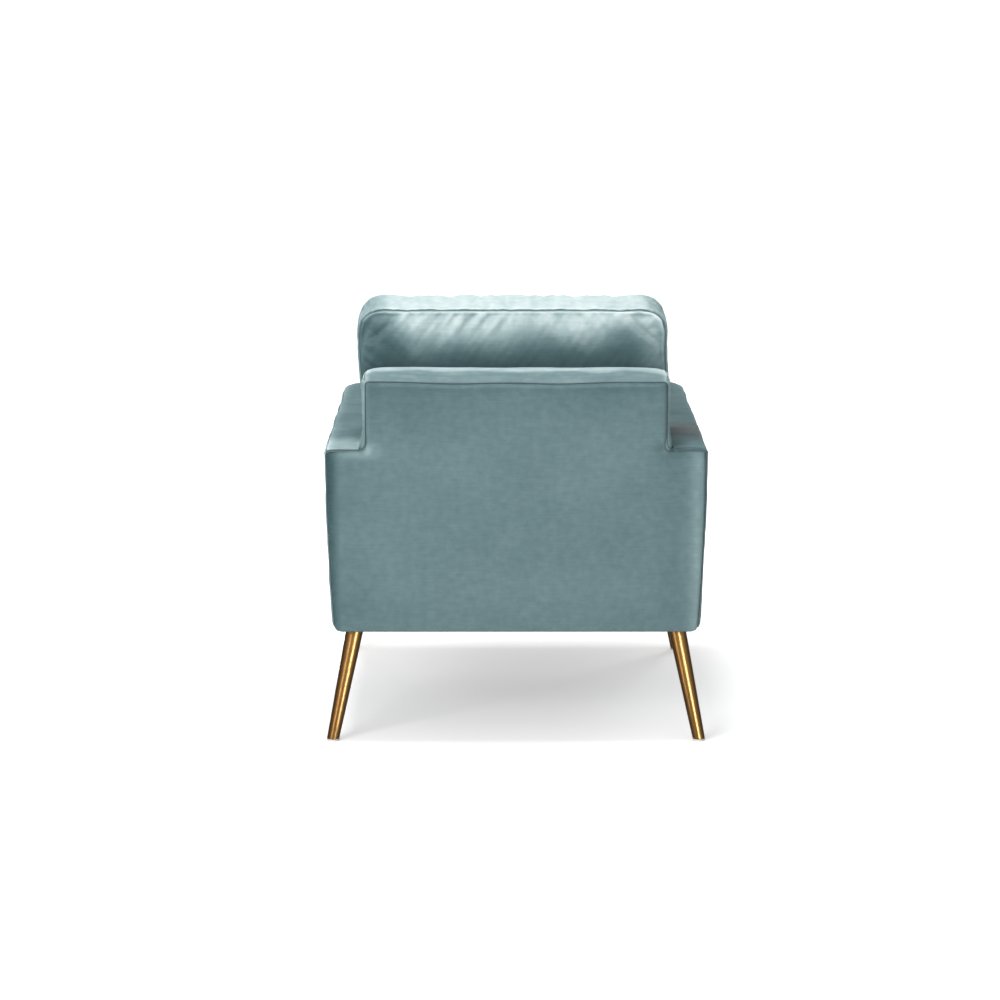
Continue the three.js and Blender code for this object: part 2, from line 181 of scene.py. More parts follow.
def remesh(thing, voxel):
    modifier = thing.modifiers.new("remesh", "REMESH")
    modifier.mode = "VOXEL"
    modifier.voxel_size = voxel
    applyModifiers(thing)


def subdivide(thing):
    modifier = thing.modifiers.new("smoother", "SUBSURF")
    modifier.levels = 1
    modifier.render_levels = 1
    applyModifiers(thing)


def smoothShade(thing):
    thing.data.polygons.foreach_set("use_smooth", [True] * len(thing.data.polygons))


def slab(corners, place, depth):
    # a flat outline, given by its corners, pushed out to a slab
    bm = bmesh.new()
    face = bm.faces.new([bm.verts.new(place(u, v)) for u, v in corners])
    pushed = bmesh.ops.extrude_face_region(bm, geom=[face])
    moved = [v for v in pushed["geom"] if isinstance(v, bmesh.types.BMVert)]
    bmesh.ops.translate(bm, verts=moved, vec=depth)
    bmesh.ops.recalc_face_normals(bm, faces=bm.faces)
    return bm


def bevelEdges(bm, edges, radius, segments):
    bmesh.ops.bevel(bm, geom=edges, offset=radius, segments=segments, profile=0.5,
                    affect="EDGES", material=-1, clamp_overlap=True)


def sharpEdges(bm, angle=0.8):
    return [e for e in bm.edges if e.calc_face_angle(0) > angle]


def softForm(name, bm, edges, radius, voxel):
    # rounded edges, then even small faces to shape
    bevelEdges(bm, edges, radius, 3)
    thing = meshObject(name, bm)
    remesh(thing, voxel)
    return thing


def coordinates(thing):
    found = np.empty(len(thing.data.vertices) * 3)
    thing.data.vertices.foreach_get("co", found)
    return found.reshape(-1, 3)


def normals(thing):
    found = np.empty(len(thing.data.vertices) * 3, dtype=np.float32)
    thing.data.vertices.foreach_get("normal", found)
    return found.reshape(-1, 3).astype(float)


def surface(thing):
    return coordinates(thing), normals(thing)


def setCoordinates(thing, points):
    thing.data.vertices.foreach_set("co", points.ravel())
    thing.data.update()


def setNapAndPaintedLight(thing, values, name="napAndPaintedLight"):
    # how light the velvet is, 0 to 1, read by the velvet: partly the lay of the pile and partly painted light
    # and shade; a second layer paints a shadow band
    layer = thing.data.attributes.new(name, "FLOAT", "POINT")
    layer.data.foreach_set("value", np.clip(values, 0, 1).astype(np.float32))


def smoothStep(low, high, value):
    t = np.clip((value - low) / (high - low), 0, 1)
    return t * t * (3 - 2 * t)


def soften(points, scale, seed=0.0):
    # smooth noise at each point, about -0.5 to 0.5; scale is the size of a patch on each axis
    size = np.broadcast_to(np.asarray(scale, dtype=float), (3,))
    return np.array([noise.noise(Vector(p / size) + Vector((seed, 2 * seed, -seed))) for p in points])


def crease(distance, width, depth):
    return -depth * np.exp(-(distance / width) ** 2)


def densePath(corners, closed=True, gap=0.002):
    # close points along a seam, and whether it runs back to its start
    ring = [Vector(c) for c in corners]
    if closed:
        ring.append(ring[0])
    dense = []
    for a, b in zip(ring, ring[1:]):
        steps = max(1, round((b - a).length / gap))
        dense += [a.lerp(b, i / steps) for i in range(steps)]
    return (dense if closed else dense + [ring[-1]]), closed


def seamTree(paths):
    tree = KDTree(sum(len(path) for path, _ in paths))
    index = 0
    for path, _ in paths:
        for point in path:
            tree.insert(point, index)
            index += 1
    tree.balance()
    return tree


def seamGap(points, tree):
    return np.array([tree.find(p)[2] for p in points.tolist()])


def refineNear(thing, tree, reach=0.009):
    # smaller faces beside the seams, where the folds are tight
    bm = bmesh.new()
    bm.from_mesh(thing.data)
    near = {v for v in bm.verts if tree.find(v.co)[2] < reach}
    edges = [e for e in bm.edges if e.verts[0] in near and e.verts[1] in near]
    bmesh.ops.subdivide_edges(bm, edges=edges, cuts=1, use_grid_fill=True)
    bm.to_mesh(thing.data)
    bm.free()


# dark and light are the painted shade in each seam's groove and the painted highlight on the roll beside it
seamShape = {"depth": 0.0018, "width": 0.0022, "ridge": 0.0009, "ridgeAt": 0.0050, "ridgeWidth": 0.0024,
             "cord": 0.00075, "dark": 0.16, "light": 0.08}


def onSurface(thing, paths):
    bm = bmesh.new()
    bm.from_mesh(thing.data)
    surface = BVHTree.FromBMesh(bm)
    bm.free()
    return [([surface.find_nearest(point)[0] for point in path], closed) for path, closed in paths]


def pressSeams(thing, paths):
    # the groove along each seam and the low roll of cloth on both sides of it
    paths = onSurface(thing, paths)
    tree = seamTree(paths)
    refineNear(thing, tree)
    points = coordinates(thing)
    gap = seamGap(points, tree)
    roll = seamShape["ridge"] * np.exp(-((gap - seamShape["ridgeAt"]) / seamShape["ridgeWidth"]) ** 2)
    points += normals(thing) * (crease(gap, seamShape["width"], seamShape["depth"]) + roll)[:, None]
    setCoordinates(thing, points)
    return gap


def seamShadeAndHighlight(gap):
    # painted highlight on the roll beside the seam, painted shade in its groove
    beside = np.exp(-((gap - seamShape["ridgeAt"]) / 0.0026) ** 2)
    return seamShape["light"] * beside - seamShape["dark"] * np.exp(-(gap / 0.0024) ** 2)


def addCords(name, paths, body, thing=None, radius=seamShape["cord"]):
    # the dark line at the bottom of each seam, laid on the finished surface: partly the sewn line, partly
    # painted shadow of the seam's crease
    if thing:
        paths = onSurface(thing, paths)
    curve = bpy.data.curves.new(name, "CURVE")
    curve.dimensions = "3D"
    curve.bevel_depth = radius
    curve.bevel_resolution = 1
    for path, closed in paths:
        laid = np.array([tuple(p) for p in path[::2]])
        for _ in range(4):
            before, after = np.roll(laid, 1, axis=0), np.roll(laid, -1, axis=0)
            if not closed:
                before[0], after[-1] = laid[0], laid[-1]
            laid = (before + laid * 2 + after) / 4
        spline = curve.splines.new("POLY")
        spline.points.add(len(laid) - 1)
        spline.points.foreach_set("co", [n for p in laid for n in (*p, 1)])
        spline.use_cyclic_u = closed
    drawn = bpy.data.objects.new(name + "Curve", curve)
    bpy.context.scene.collection.objects.link(drawn)
    mesh = bpy.data.meshes.new_from_object(drawn.evaluated_get(bpy.context.evaluated_depsgraph_get()))
    bpy.data.objects.remove(drawn)
    bpy.data.curves.remove(curve)
    cord = bpy.data.objects.new(name, mesh)
    bpy.context.scene.collection.objects.link(cord)
    smoothShade(cord)
    return finishPiece(cord, body, "seam", "velvet")


# ---------- materials

def nodeSet(tree):
    # each input is given a plain value, or another node's output to link
    def add(kind, inputs=None, **settings):
        node = tree.nodes.new(kind)
        for key, value in settings.items():
            setattr(node, key, value)
        for key, value in (inputs or {}).items():
            if isinstance(value, bpy.types.NodeSocket):
                tree.links.new(value, node.inputs[key])
            else:
                node.inputs[key].default_value = value
        return node
    return add, tree.links.new


def shaderGroup(name, inputs, outputs):
    group = bpy.data.node_groups.new(name, "ShaderNodeTree")
    for label, kind, value in inputs:
        made = group.interface.new_socket(name=label, in_out="INPUT", socket_type=kind)
        made.default_value = value
    for label, kind in outputs:
        group.interface.new_socket(name=label, in_out="OUTPUT", socket_type=kind)
    return group, group.nodes.new("NodeGroupInput"), group.nodes.new("NodeGroupOutput")


def makePileGroup():
    # cut pile: broad crushed patches, mottling, the rows of the ground cloth and the tufts themselves
    group, given, result = shaderGroup(
        "cutPile",
        [("Patch Scale", "NodeSocketFloat", 9.0), ("Mottle Scale", "NodeSocketFloat", 62.0),
         ("Row Scale", "NodeSocketFloat", 250.0), ("Tuft Scale", "NodeSocketFloat", 1500.0)],
        [("Tone", "NodeSocketFloat"), ("Height", "NodeSocketFloat")])
    add, link = nodeSet(group)
    place = add("ShaderNodeTexCoord").outputs["Object"]
    inRows = add("ShaderNodeMapping", {"Vector": place, "Scale": (0.11, 0.11, 1.0)}).outputs["Vector"]
    layers = (("Patch Scale", 4, place), ("Mottle Scale", 5, place),
              ("Row Scale", 3, inRows), ("Tuft Scale", 2, place))
    patch, mottle, rows, tufts = [
        add("ShaderNodeTexNoise", {"Scale": given.outputs[scale], "Detail": detail, "Vector": spot}).outputs[0]
        for scale, detail, spot in layers]
    tone = -0.825     # half of the three shares, so that the tone stays about zero
    for layer, share in ((patch, 0.35), (mottle, 0.8), (rows, 0.5)):
        tone = add("ShaderNodeMath", {0: layer, 1: share, 2: tone}, operation="MULTIPLY_ADD").outputs[0]
    height = add("ShaderNodeMath", {0: rows, 1: 0.3, 2: tufts}, operation="MULTIPLY_ADD").outputs[0]
    link(tone, result.inputs["Tone"])
    link(height, result.inputs["Height"])
    return group


def makeBrushedGroup():
    # fine lines along the piece, as a belt or wheel leaves them
    group, given, result = shaderGroup(
        "brushedLines",
        [("Across Scale", "NodeSocketFloat", 900.0), ("Along Ratio", "NodeSocketFloat", 0.02),
         ("Place", "NodeSocketVector", (0, 0, 0))],
        [("Lines", "NodeSocketFloat"), ("Smudge", "NodeSocketFloat")])
    add, link = nodeSet(group)
    place = given.outputs["Place"]
    ratio = add("ShaderNodeCombineXYZ", {"X": 1, "Y": 1, "Z": given.outputs["Along Ratio"]}).outputs[0]
    stretch = add("ShaderNodeVectorMath", {0: place, 1: ratio}, operation="MULTIPLY").outputs[0]
    lines = add("ShaderNodeTexNoise", {"Vector": stretch, "Scale": given.outputs["Across Scale"], "Detail": 3})
    smudge = add("ShaderNodeTexNoise", {"Vector": place, "Scale": 30, "Detail": 4})
    link(lines.outputs[0], result.inputs["Lines"])
    link(smudge.outputs[0], result.inputs["Smudge"])
    return group


pileGroup = makePileGroup()
brushedGroup = makeBrushedGroup()


def newMaterial(name, roughness, metallic, extra=None):
    material = bpy.data.materials.new(name)
    material.use_nodes = True
    shader = material.node_tree.nodes["Principled BSDF"]
    shader.inputs["Roughness"].default_value = roughness
    shader.inputs["Metallic"].default_value = metallic
    for label, value in (extra or {}).items():
        shader.inputs[label].default_value = value
    return material, shader, *nodeSet(material.node_tree)


def colourBetween(add, factor, dark, light):
    return add("ShaderNodeMix", {0: factor, 6: (*dark, 1), 7: (*light, 1)}, data_type="RGBA").outputs[2]


def addBump(add, link, shader, height, strength, distance):
    bump = add("ShaderNodeBump", {"Strength": strength, "Distance": distance, "Height": height})
    link(bump.outputs["Normal"], shader.inputs["Normal"])


velvetTones = {
    "stops": [
        (0.00, (0.023, 0.050, 0.057)),
        (0.30, (0.076, 0.126, 0.134)),
        (0.50, (0.136, 0.200, 0.208)),
        (0.75, (0.300, 0.388, 0.395)),
        (1.00, (0.610, 0.680, 0.680)),
    ],
    # colour of the painted shadow band across the right arm
    "armShadowBand": (0.102, 0.104, 0.104),
    "patchStrength": 0.19,
    "sheen": 0.22,
    "sheenRoughness": 0.35,
    "sheenTint": (0.55, 0.82, 0.86, 1),
}


def makeVelvet(name, patchScale=9.0):
    material, shader, add, link = newMaterial(name, 0.88, 0.0, {
        "Sheen Weight": velvetTones["sheen"],
        "Sheen Roughness": velvetTones["sheenRoughness"],
        "Sheen Tint": velvetTones["sheenTint"],
        "Specular IOR Level": 0.18,
    })
    pile = add("ShaderNodeGroup", {"Patch Scale": patchScale}, node_tree=pileGroup)
    # painted light and shade reach the base colour through this attribute, along with the lay of the pile
    napAndPaintedLight = add("ShaderNodeAttribute", attribute_name="napAndPaintedLight").outputs["Fac"]
    # painted shadow band, mixed over the tone
    armShadowBand = add("ShaderNodeAttribute", attribute_name="armShadowBand").outputs["Fac"]
    tone = add("ShaderNodeMath", {0: pile.outputs["Tone"], 1: velvetTones["patchStrength"], 2: napAndPaintedLight},
               operation="MULTIPLY_ADD")
    ramp = add("ShaderNodeValToRGB", {0: tone.outputs[0]})
    stops = velvetTones["stops"]
    ramp.color_ramp.elements[0].position = stops[0][0]
    ramp.color_ramp.elements[1].position = stops[-1][0]
    for position, _ in stops[1:-1]:
        ramp.color_ramp.elements.new(position)
    for element, (_, colour) in zip(ramp.color_ramp.elements, stops):
        element.color = (*colour, 1)
    mix = add("ShaderNodeMix", {0: armShadowBand, 6: ramp.outputs[0], 7: (*velvetTones["armShadowBand"], 1)},
              data_type="RGBA")
    rough = add("ShaderNodeMapRange", {"Value": pile.outputs["Height"], "To Min": 0.80, "To Max": 0.95})
    link(mix.outputs[2], shader.inputs["Base Color"])
    link(rough.outputs[0], shader.inputs["Roughness"])
    addBump(add, link, shader, pile.outputs["Height"], 0.35, 0.0006)
    return material


def makeMetal(name, dark, light, roughness, across, along, strength=0.12, vary=0.045, ownGrain=False):
    material, shader, add, link = newMaterial(name, roughness, 1.0)
    if ownGrain:
        place = add("ShaderNodeAttribute", attribute_name="grain").outputs["Vector"]
    else:
        place = add("ShaderNodeTexCoord").outputs["Object"]
    brushed = add("ShaderNodeGroup", {"Across Scale": across, "Along Ratio": along, "Place": place},
                  node_tree=brushedGroup)
    rough = add("ShaderNodeMapRange", {
        "Value": brushed.outputs["Lines"], "From Min": 0.3, "From Max": 0.7,
        "To Min": roughness - vary, "To Max": roughness + vary,
    })
    link(rough.outputs[0], shader.inputs["Roughness"])
    link(colourBetween(add, brushed.outputs["Smudge"], dark, light), shader.inputs["Base Color"])
    addBump(add, link, shader, brushed.outputs["Lines"], strength, 0.0002)
    return material


def makeCloth(name, dark, light, scale):
    # plain woven cloth: two crossed sets of threads
    material, shader, add, link = newMaterial(name, 0.92, 0.0, {"Sheen Weight": 0.1})
    place = add("ShaderNodeTexCoord").outputs["Object"]
    warp, weft = [
        add("ShaderNodeTexWave", {"Vector": place, "Scale": scale, "Distortion": 0.6}, bands_direction=way)
        for way in ("X", "Y")]
    crossed = add("ShaderNodeMath", {0: warp.outputs["Fac"], 1: weft.outputs["Fac"]}, operation="MULTIPLY")
    fuzz = add("ShaderNodeTexNoise", {"Vector": place, "Scale": scale * 0.1})
    link(colourBetween(add, fuzz.outputs[0], dark, light), shader.inputs["Base Color"])
    addBump(add, link, shader, crossed.outputs[0], 0.5, 0.0003)
    return material


def makeTimber(name):
    material, shader, add, link = newMaterial(name, 0.75, 0.0)
    place = add("ShaderNodeTexCoord").outputs["Object"]
    stretch = add("ShaderNodeMapping", {"Vector": place, "Scale": (22, 3, 22)}).outputs["Vector"]
    grain = add("ShaderNodeTexNoise", {"Vector": stretch, "Scale": 3, "Detail": 8, "Distortion": 0.8})
    rings = grain.outputs[0]
    link(colourBetween(add, rings, (0.36, 0.22, 0.11), (0.66, 0.48, 0.29)), shader.inputs["Base Color"])
    addBump(add, link, shader, rings, 0.25, 0.0006)
    return material


def makeMottled(name, dark, light, scale, roughness, strength, distance=0.0006):
    # foam cells, moulded plastic texture and the like: speckle in the colour and a bump
    material, shader, add, link = newMaterial(name, roughness, 0.0)
    place = add("ShaderNodeTexCoord").outputs["Object"]
    speckle = add("ShaderNodeTexNoise", {"Vector": place, "Scale": scale, "Detail": 3}).outputs[0]
    link(colourBetween(add, speckle, dark, light), shader.inputs["Base Color"])
    addBump(add, link, shader, speckle, strength, distance)
    return material


materials = {
    "velvet": makeVelvet("dustyVelvet"),
    "cushionVelvet": makeVelvet("dustyVelvetCushion", 12.0),
    # dark cords: partly the sewn line, partly painted shadow in the seams
    "seam": makeMottled("seamThreadAndShadow", (0.035, 0.06, 0.068), (0.07, 0.11, 0.12), 900, 0.9, 0.3),
    "brass": makeMetal("brushedAntiqueBrass", (0.36, 0.195, 0.065), (0.50, 0.295, 0.115), 0.30, 1400, 0.004,
                       strength=0.0, vary=0.008, ownGrain=True),
    "glide": makeMottled("glidePlastic", (0.52, 0.51, 0.48), (0.66, 0.65, 0.62), 260, 0.5, 0.2, 0.0002),
    "cambric": makeCloth("blackCambric", (0.010, 0.010, 0.011), (0.026, 0.026, 0.028), 900),
    "foam": makeMottled("creamFoam", (0.62, 0.55, 0.38), (0.80, 0.74, 0.58), 700, 0.95, 0.6),
    "timber": makeTimber("sawnHardwood"),
    "spring": makeMetal("springWire", (0.16, 0.165, 0.17), (0.30, 0.30, 0.31), 0.38, 600, 0.4),
    "webbing": makeCloth("elasticWebbing", (0.20, 0.15, 0.08), (0.36, 0.29, 0.17), 500),
    "zinc": makeMetal("zincPlate", (0.40, 0.41, 0.41), (0.60, 0.61, 0.60), 0.42, 200, 0.9),
    "zipTape": makeCloth("zipTape", (0.055, 0.095, 0.105), (0.09, 0.15, 0.165), 1200),
    "nickel": makeMetal("nickelPlate", (0.52, 0.51, 0.48), (0.70, 0.69, 0.65), 0.26, 500, 0.5, 0.06),
}
slotMaterials = {
    "velvet": "velvet", "foam": "foam", "timber": "timber", "spring_steel": "spring", "webbing": "webbing",
    "black_cloth": "cambric", "antique_brass": "brass", "zinc_plate": "zinc", "glide_plastic": "glide",
    "zip_tape": "zipTape", "nickel": "nickel",
}


def finishCadNodes():
    # every carried-over node gets its own finish in place of the flat one
    for entry in frame["record"]["subparts"]:
        node = frame["nodes"][entry["node"]]
        finish = materials[slotMaterials[entry["material_slot"]]]
        if not node.data.materials:
            node.data.materials.append(finish)
        for i in range(len(node.material_slots)):
            node.material_slots[i].material = finish


def finishPiece(thing, body, material, slotName, *nodes):
    thing.data.materials.clear()
    thing.data.materials.append(materials[material])
    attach(thing, body)
    if nodes:
        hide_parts(*nodes)
    return thing


# ---------- upholstered body

body = {
    "bottom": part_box("outside_back_cover")[0][2] - 0.0025,   # the soft cover hangs a little below its panel
    "rear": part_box("outside_back_cover")[1][1],
    "front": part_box("left_arm_cover")[0][1],
    "armTop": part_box("left_arm_cover")[1][2],
    "armInner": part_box("left_arm_cover")[0][0],
    "armOuter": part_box("left_arm_cover")[1][0],
    "backTop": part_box("inside_back_cover")[1][2],
    "backHalf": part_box("inside_back_cover")[1][0],
    # in from the arm's outer face, by height
    "outerTaper": [(-0.001, 0.480), (-0.007, 0.330), (-0.013, 0.233)],
}


def armOutline(inset):
    outer = body["armOuter"] - inset
    return [
        (body["armInner"], body["bottom"]),
        (body["armInner"], body["armTop"]),
        (outer, body["armTop"]),
        *[(outer + shift, height) for shift, height in body["outerTaper"]],
    ]


armShape = {
    "voxel": 0.0042,
    "edge": 0.0075,
    "rear": body["rear"] - 0.007,
    "crown": 0.0035,
    "frontCrown": 0.012,
    "frontLength": 0.10,
    "panelInset": 0.006,   # front panel's seam, in from the edge
    "seamInset": 0.0022,
    "sideNap": 0.42,
    "topNapAndPaintedLight": 0.22,
    "shadowBandStrength": 0.72,          # how dark the painted shadow band across the right arm is
}


def armSeams(side):
    values = armShape
    top = body["armTop"] - values["seamInset"]
    inner = side * (body["armInner"] + values["seamInset"])
    outer = side * (body["armOuter"] - values["seamInset"])
    front = body["front"] + values["panelInset"]
    panel = [(side * u, front, v) for u, v in armOutline(values["seamInset"])]
    return [
        densePath([(outer, values["rear"], top), (outer, front, top)], closed=False),
        densePath([(inner, values["rear"], top), (inner, front, top)], closed=False),
        densePath(panel),
    ]


def addArm(sideName, side):
    values = armShape
    corners = [(side * u, v) for u, v in armOutline(0)]
    bm = slab(corners, lambda u, v: (u, values["rear"], v), (0, body["front"] - values["rear"], 0))
    arm = softForm(sideName + "Arm", bm, list(bm.edges), values["edge"], values["voxel"])
    points, outward = surface(arm)
    middle = (body["armInner"] + body["armOuter"]) / 2
    half = (body["armOuter"] - body["armInner"]) / 2
    onTop = smoothStep(body["armTop"] - 0.03, body["armTop"] - 0.002, points[:, 2])
    arch = np.clip(1 - ((np.abs(points[:, 0]) - middle) / half) ** 2, 0, 1)
    frontRise = smoothStep(body["front"] + values["frontLength"], body["front"] + 0.02, points[:, 1])
    ripple = soften(points, (0.09, 0.11, 0.09), side * 3.1) * 0.0022
    small = soften(points, (0.03, 0.06, 0.03), side * 5.7) * 0.0009
    # soft dents across the top, as a sleeve leaves
    up = np.clip(outward[:, 2], 0, 1)
    dents = -0.0016 * np.clip(soften(points, (0.20, 0.045, 0.2), side * 9.3), 0, 1) * up
    points += outward * (ripple + small + dents)[:, None]
    points[:, 2] += (values["crown"] + values["frontCrown"] * frontRise) * arch * onTop
    setCoordinates(arm, points)
    gap = pressSeams(arm, armSeams(side))
    smoothShade(arm)
    points, outward = surface(arm)
    up = smoothStep(0.3, 0.8, outward[:, 2])
    napAndPaintedLight = values["sideNap"] + soften(points, (0.14, 0.13, 0.2), 4.4) * 0.10
    napAndPaintedLight += soften(points, (0.05, 0.08, 0.06), side * 2.2) * 0.07
    # the pile of the top strip lies forward. Over that it is painted lighter at the raised front end, with a
    # painted highlight on the left arm's rear end and outer edge and a painted shadow band on the right arm
    topNapAndPaintedLight = values["topNapAndPaintedLight"] + soften(points, (0.06, 0.10, 0.2), side * 6.2) * 0.07
    y = points[:, 1]
    across = (np.abs(points[:, 0]) - middle) / half
    topNapAndPaintedLight += 0.10 * smoothStep(-0.26, -0.37, y)
    if side > 0:
        # painted highlight on the left arm's top towards its rear and along its outer edge
        topNapAndPaintedLight += 0.08 * smoothStep(0.05, 0.22, y) + 0.34 * smoothStep(0.22, 0.33, y) + 0.03
        topNapAndPaintedLight += 0.20 * smoothStep(0.25, 0.9, across)
    else:
        # painted shade: a darker band across the right arm near its rear
        topNapAndPaintedLight += 0.02 - 0.10 * np.exp(-((y - 0.17) / 0.075) ** 4)
    napAndPaintedLight = napAndPaintedLight * (1 - up) + topNapAndPaintedLight * up + seamShadeAndHighlight(gap)
    setNapAndPaintedLight(arm, napAndPaintedLight)
    # painted shadow of the back across the right arm, as its own darker, greyer layer
    if side < 0:
        band = np.exp(-((y - 0.185 - 0.02 * across ** 2) / 0.085) ** 4)
        setNapAndPaintedLight(arm, band * up * (values["shadowBandStrength"] + 0.7 * soften(points, (0.08, 0.016, 1), 2.0)), "armShadowBand")
    finishPiece(arm, "chair_frame", "velvet", "velvet", sideName + "_arm_cover", sideName + "_arm_padding")
    addCords(sideName + "ArmSeams", armSeams(side), "chair_frame", arm)


rearPanelShape = {
    "voxel": 0.0036,
    "inset": 0.0055,       # the panel's seam, in from the sides of the arms
    "topInset": 0.0078,
    "upperHalf": 0.2970,
    "seamBack": (0.0068, 0.0070),   # how far forward its seam lies below and above the arm tops
    "thick": 0.014,
    "edge": 0.0050,
    "cornerRound": 0.009,
    "hang": 0.0028,
    "notchRound": 0.012,
    "crown": 0.0028,
    "shoulder": 0.009,     # how far the panel rolls forward below the arm tops
    "shoulderHeight": 0.026,
    "napAndPaintedLight": 0.368,
}


def quarterArc(u, v, radius, outward, steps=5):
    # rounds a corner of the outline, on its way out (1) or in (-1)
    turns = [i / steps * math.pi / 2 for i in range(steps + 1)]
    return [(u + outward * radius * (1 - math.cos(t)), v + radius * (1 - math.sin(t))) for t in turns]


def rearPanelCorners(outset=0.0):
    values = rearPanelShape
    outer = body["armOuter"] - values["inset"] + outset
    foot = outer + body["outerTaper"][-1][0]
    half = [
        (values["upperHalf"] + outset, body["backTop"] - values["topInset"] + outset),
        *quarterArc(values["upperHalf"] + outset, body["armTop"] - 0.002 + outset, values["notchRound"], 1),
        (outer, body["armTop"] - 0.002 + outset),
        *[(outer + shift, height) for shift, height in body["outerTaper"][:-1]],
        *quarterArc(foot, body["bottom"] - values["hang"], values["cornerRound"], -1),
    ]
    return half + [(-u, v) for u, v in reversed(half)]


def topSag(x):
    # how far the top seam of the back dips between its two corners
    return -0.0034 * (1 - np.clip((x / 0.3) ** 2, 0, 1)) + 0.0010 * np.sin(x * 29 + 1)


def panelSeam():
    # where the panel meets the arms and the back, in front of its rounded rim
    values = rearPanelShape
    spots = []
    for u, v in rearPanelCorners(0.0010):
        upper = v > body["armTop"] - 0.001
        spots.append((u, body["rear"] - values["seamBack"][upper], v))
    path, closed = densePath(spots)
    for point in path:
        if point.z > body["backTop"] - 0.02:
            point.z += float(topSag(point.x))
    return [(path, closed)]


def addRearPanel():
    values = rearPanelShape
    bm = slab(rearPanelCorners(), lambda u, v: (u, body["rear"], v), (0, -values["thick"], 0))
    panel = softForm("outsideBackPanel", bm, sharpEdges(bm), values["edge"], values["voxel"])
    points, outward = surface(panel)
    x, z = points[:, 0], points[:, 2]
    wide = np.clip(1 - (x / 0.39) ** 6, 0, 1)
    tall = np.clip((z - body["bottom"]) / 0.05, 0, 1) * np.clip((body["backTop"] - z) / 0.04, 0, 1)
    facing = np.clip(outward[:, 1], 0, 1)
    bulge = values["crown"] * wide * tall * facing
    overArm = smoothStep(0.262, 0.312, np.abs(x))
    roll = np.clip((z - (body["armTop"] - values["shoulderHeight"])) / values["shoulderHeight"], 0, 1.0) ** 2
    shoulder = -values["shoulder"] * roll * overArm * smoothStep(body["armTop"] + 0.05, body["armTop"], z)
    broad = soften(points, (0.16, 1, 0.13), 1.3) * 0.0026
    drag = soften(points, (0.05, 1, 0.10), 6.1) * 0.0008
    # pulls fanning from the two inner corners of the notches
    fan = np.zeros(len(points))
    for side in (1, -1):
        dx = side * values["upperHalf"] - x
        dz = body["armTop"] - z
        reach = np.hypot(dx, dz)
        angle = np.arctan2(dz, side * dx)
        fan += np.cos(angle * 9 + side) * np.exp(-reach / 0.035) * smoothStep(0.004, 0.02, reach) * 0.0012
    low = body["bottom"] + 0.036
    fold = crease(np.abs(z - low - 0.004 * np.sin(x * 9)), 0.004, 0.0009) * smoothStep(-0.21, -0.25, x)
    nearTop = smoothStep(body["backTop"] - 0.07, body["backTop"] - 0.01, z)
    topPull = soften(points, (0.030, 1, 0.2), 8.8) * 0.0018 * nearTop
    points[:, 1] += bulge + shoulder + (broad + drag + fan + fold + topPull) * facing
    points[:, 2] += topSag(x) * smoothStep(body["backTop"] - 0.05, body["backTop"] - 0.01, z)
    setCoordinates(panel, points)
    smoothShade(panel)
    fromLeft = body["armOuter"] - x      # in from the sitter's left edge
    fromRight = body["armOuter"] + x
    napAndPaintedLight = values["napAndPaintedLight"] + soften(points, (0.17, 1, 0.12), 11.0) * 0.035
    napAndPaintedLight += soften(points, (0.05, 1, 0.045), 15.5) * 0.012
    narrow = 1 - smoothStep(0.26, 0.30, np.abs(x))
    napAndPaintedLight -= 0.05 * smoothStep(0.60, 0.72, z) + 0.05 * smoothStep(0.700, 0.722, z)
    napAndPaintedLight -= 0.03 * smoothStep(0.33, 0.25, z)
    # painted shade along the sitter's left edge, a painted highlight strip near the right edge and painted
    # shade at its very rim
    napAndPaintedLight -= 0.03 * smoothStep(0.13, 0.05, fromLeft) + 0.30 * smoothStep(0.034, 0.008, fromLeft)
    napAndPaintedLight += 0.15 * np.exp(-((fromRight - 0.022) / 0.014) ** 2) - 0.03 * np.exp(-((fromRight - 0.07) / 0.03) ** 2)
    napAndPaintedLight -= 0.16 * smoothStep(0.011, 0.004, fromRight)
    # painted highlight where the panel rolls over under the left arm's top, painted shade under the right one
    underArm = smoothStep(body["armTop"] - 0.024, body["armTop"] - 0.010, z) * smoothStep(0.25, 0.30, np.abs(x))
    napAndPaintedLight += underArm * np.where(x > 0, 0.17 * smoothStep(0.37, 0.32, x), -0.05)
    # painted highlight at the inner corner of each notch
    corner = np.hypot(np.abs(x) - values["upperHalf"] + 0.004, z - body["armTop"] + 0.004)
    napAndPaintedLight += 0.10 * np.exp(-(corner / 0.007) ** 2)
    # painted shade beside the notches, above the arm tops
    upper = smoothStep(body["armTop"] + 0.005, body["armTop"] + 0.02, z)
    napAndPaintedLight -= upper * np.where(x > 0, 0.14 * smoothStep(0.255, 0.287, x), -0.05 * smoothStep(-0.26, -0.285, x))
    # painted highlight along the rounded top rim, just under the top seam
    rim = np.abs(z - (body["backTop"] - values["topInset"]) - topSag(x))
    napAndPaintedLight += 0.10 * np.exp(-((rim - 0.0045) / 0.0028) ** 2) * narrow
    setNapAndPaintedLight(panel, napAndPaintedLight)
    finishPiece(panel, "chair_frame", "velvet", "velvet", "outside_back_cover", "outside_back_padding")
    addCords("outsideBackSeam", panelSeam(), "chair_frame", radius=0.0012)


backWrapShape = {
    "voxel": 0.0045,
    "rear": body["rear"] - 0.007,
    "seatLine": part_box("inside_back_cover")[0][2],
    "foot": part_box("inside_back_cover")[0][1],
    "edge": 0.008,
    "crown": 0.0130,
    "sideCrown": 0.001,
    "sideSwell": 0.0022,
    "stripe": 0.032,      # the darker lay of the pile beside the rear seam
    "pressOut": (0.0036, 0.0056),   # against the right and the left arm, where it meets them
    "topNapAndPaintedLight": 0.77,
    "stripeNap": -0.27,
    "sideNap": 0.48,
}


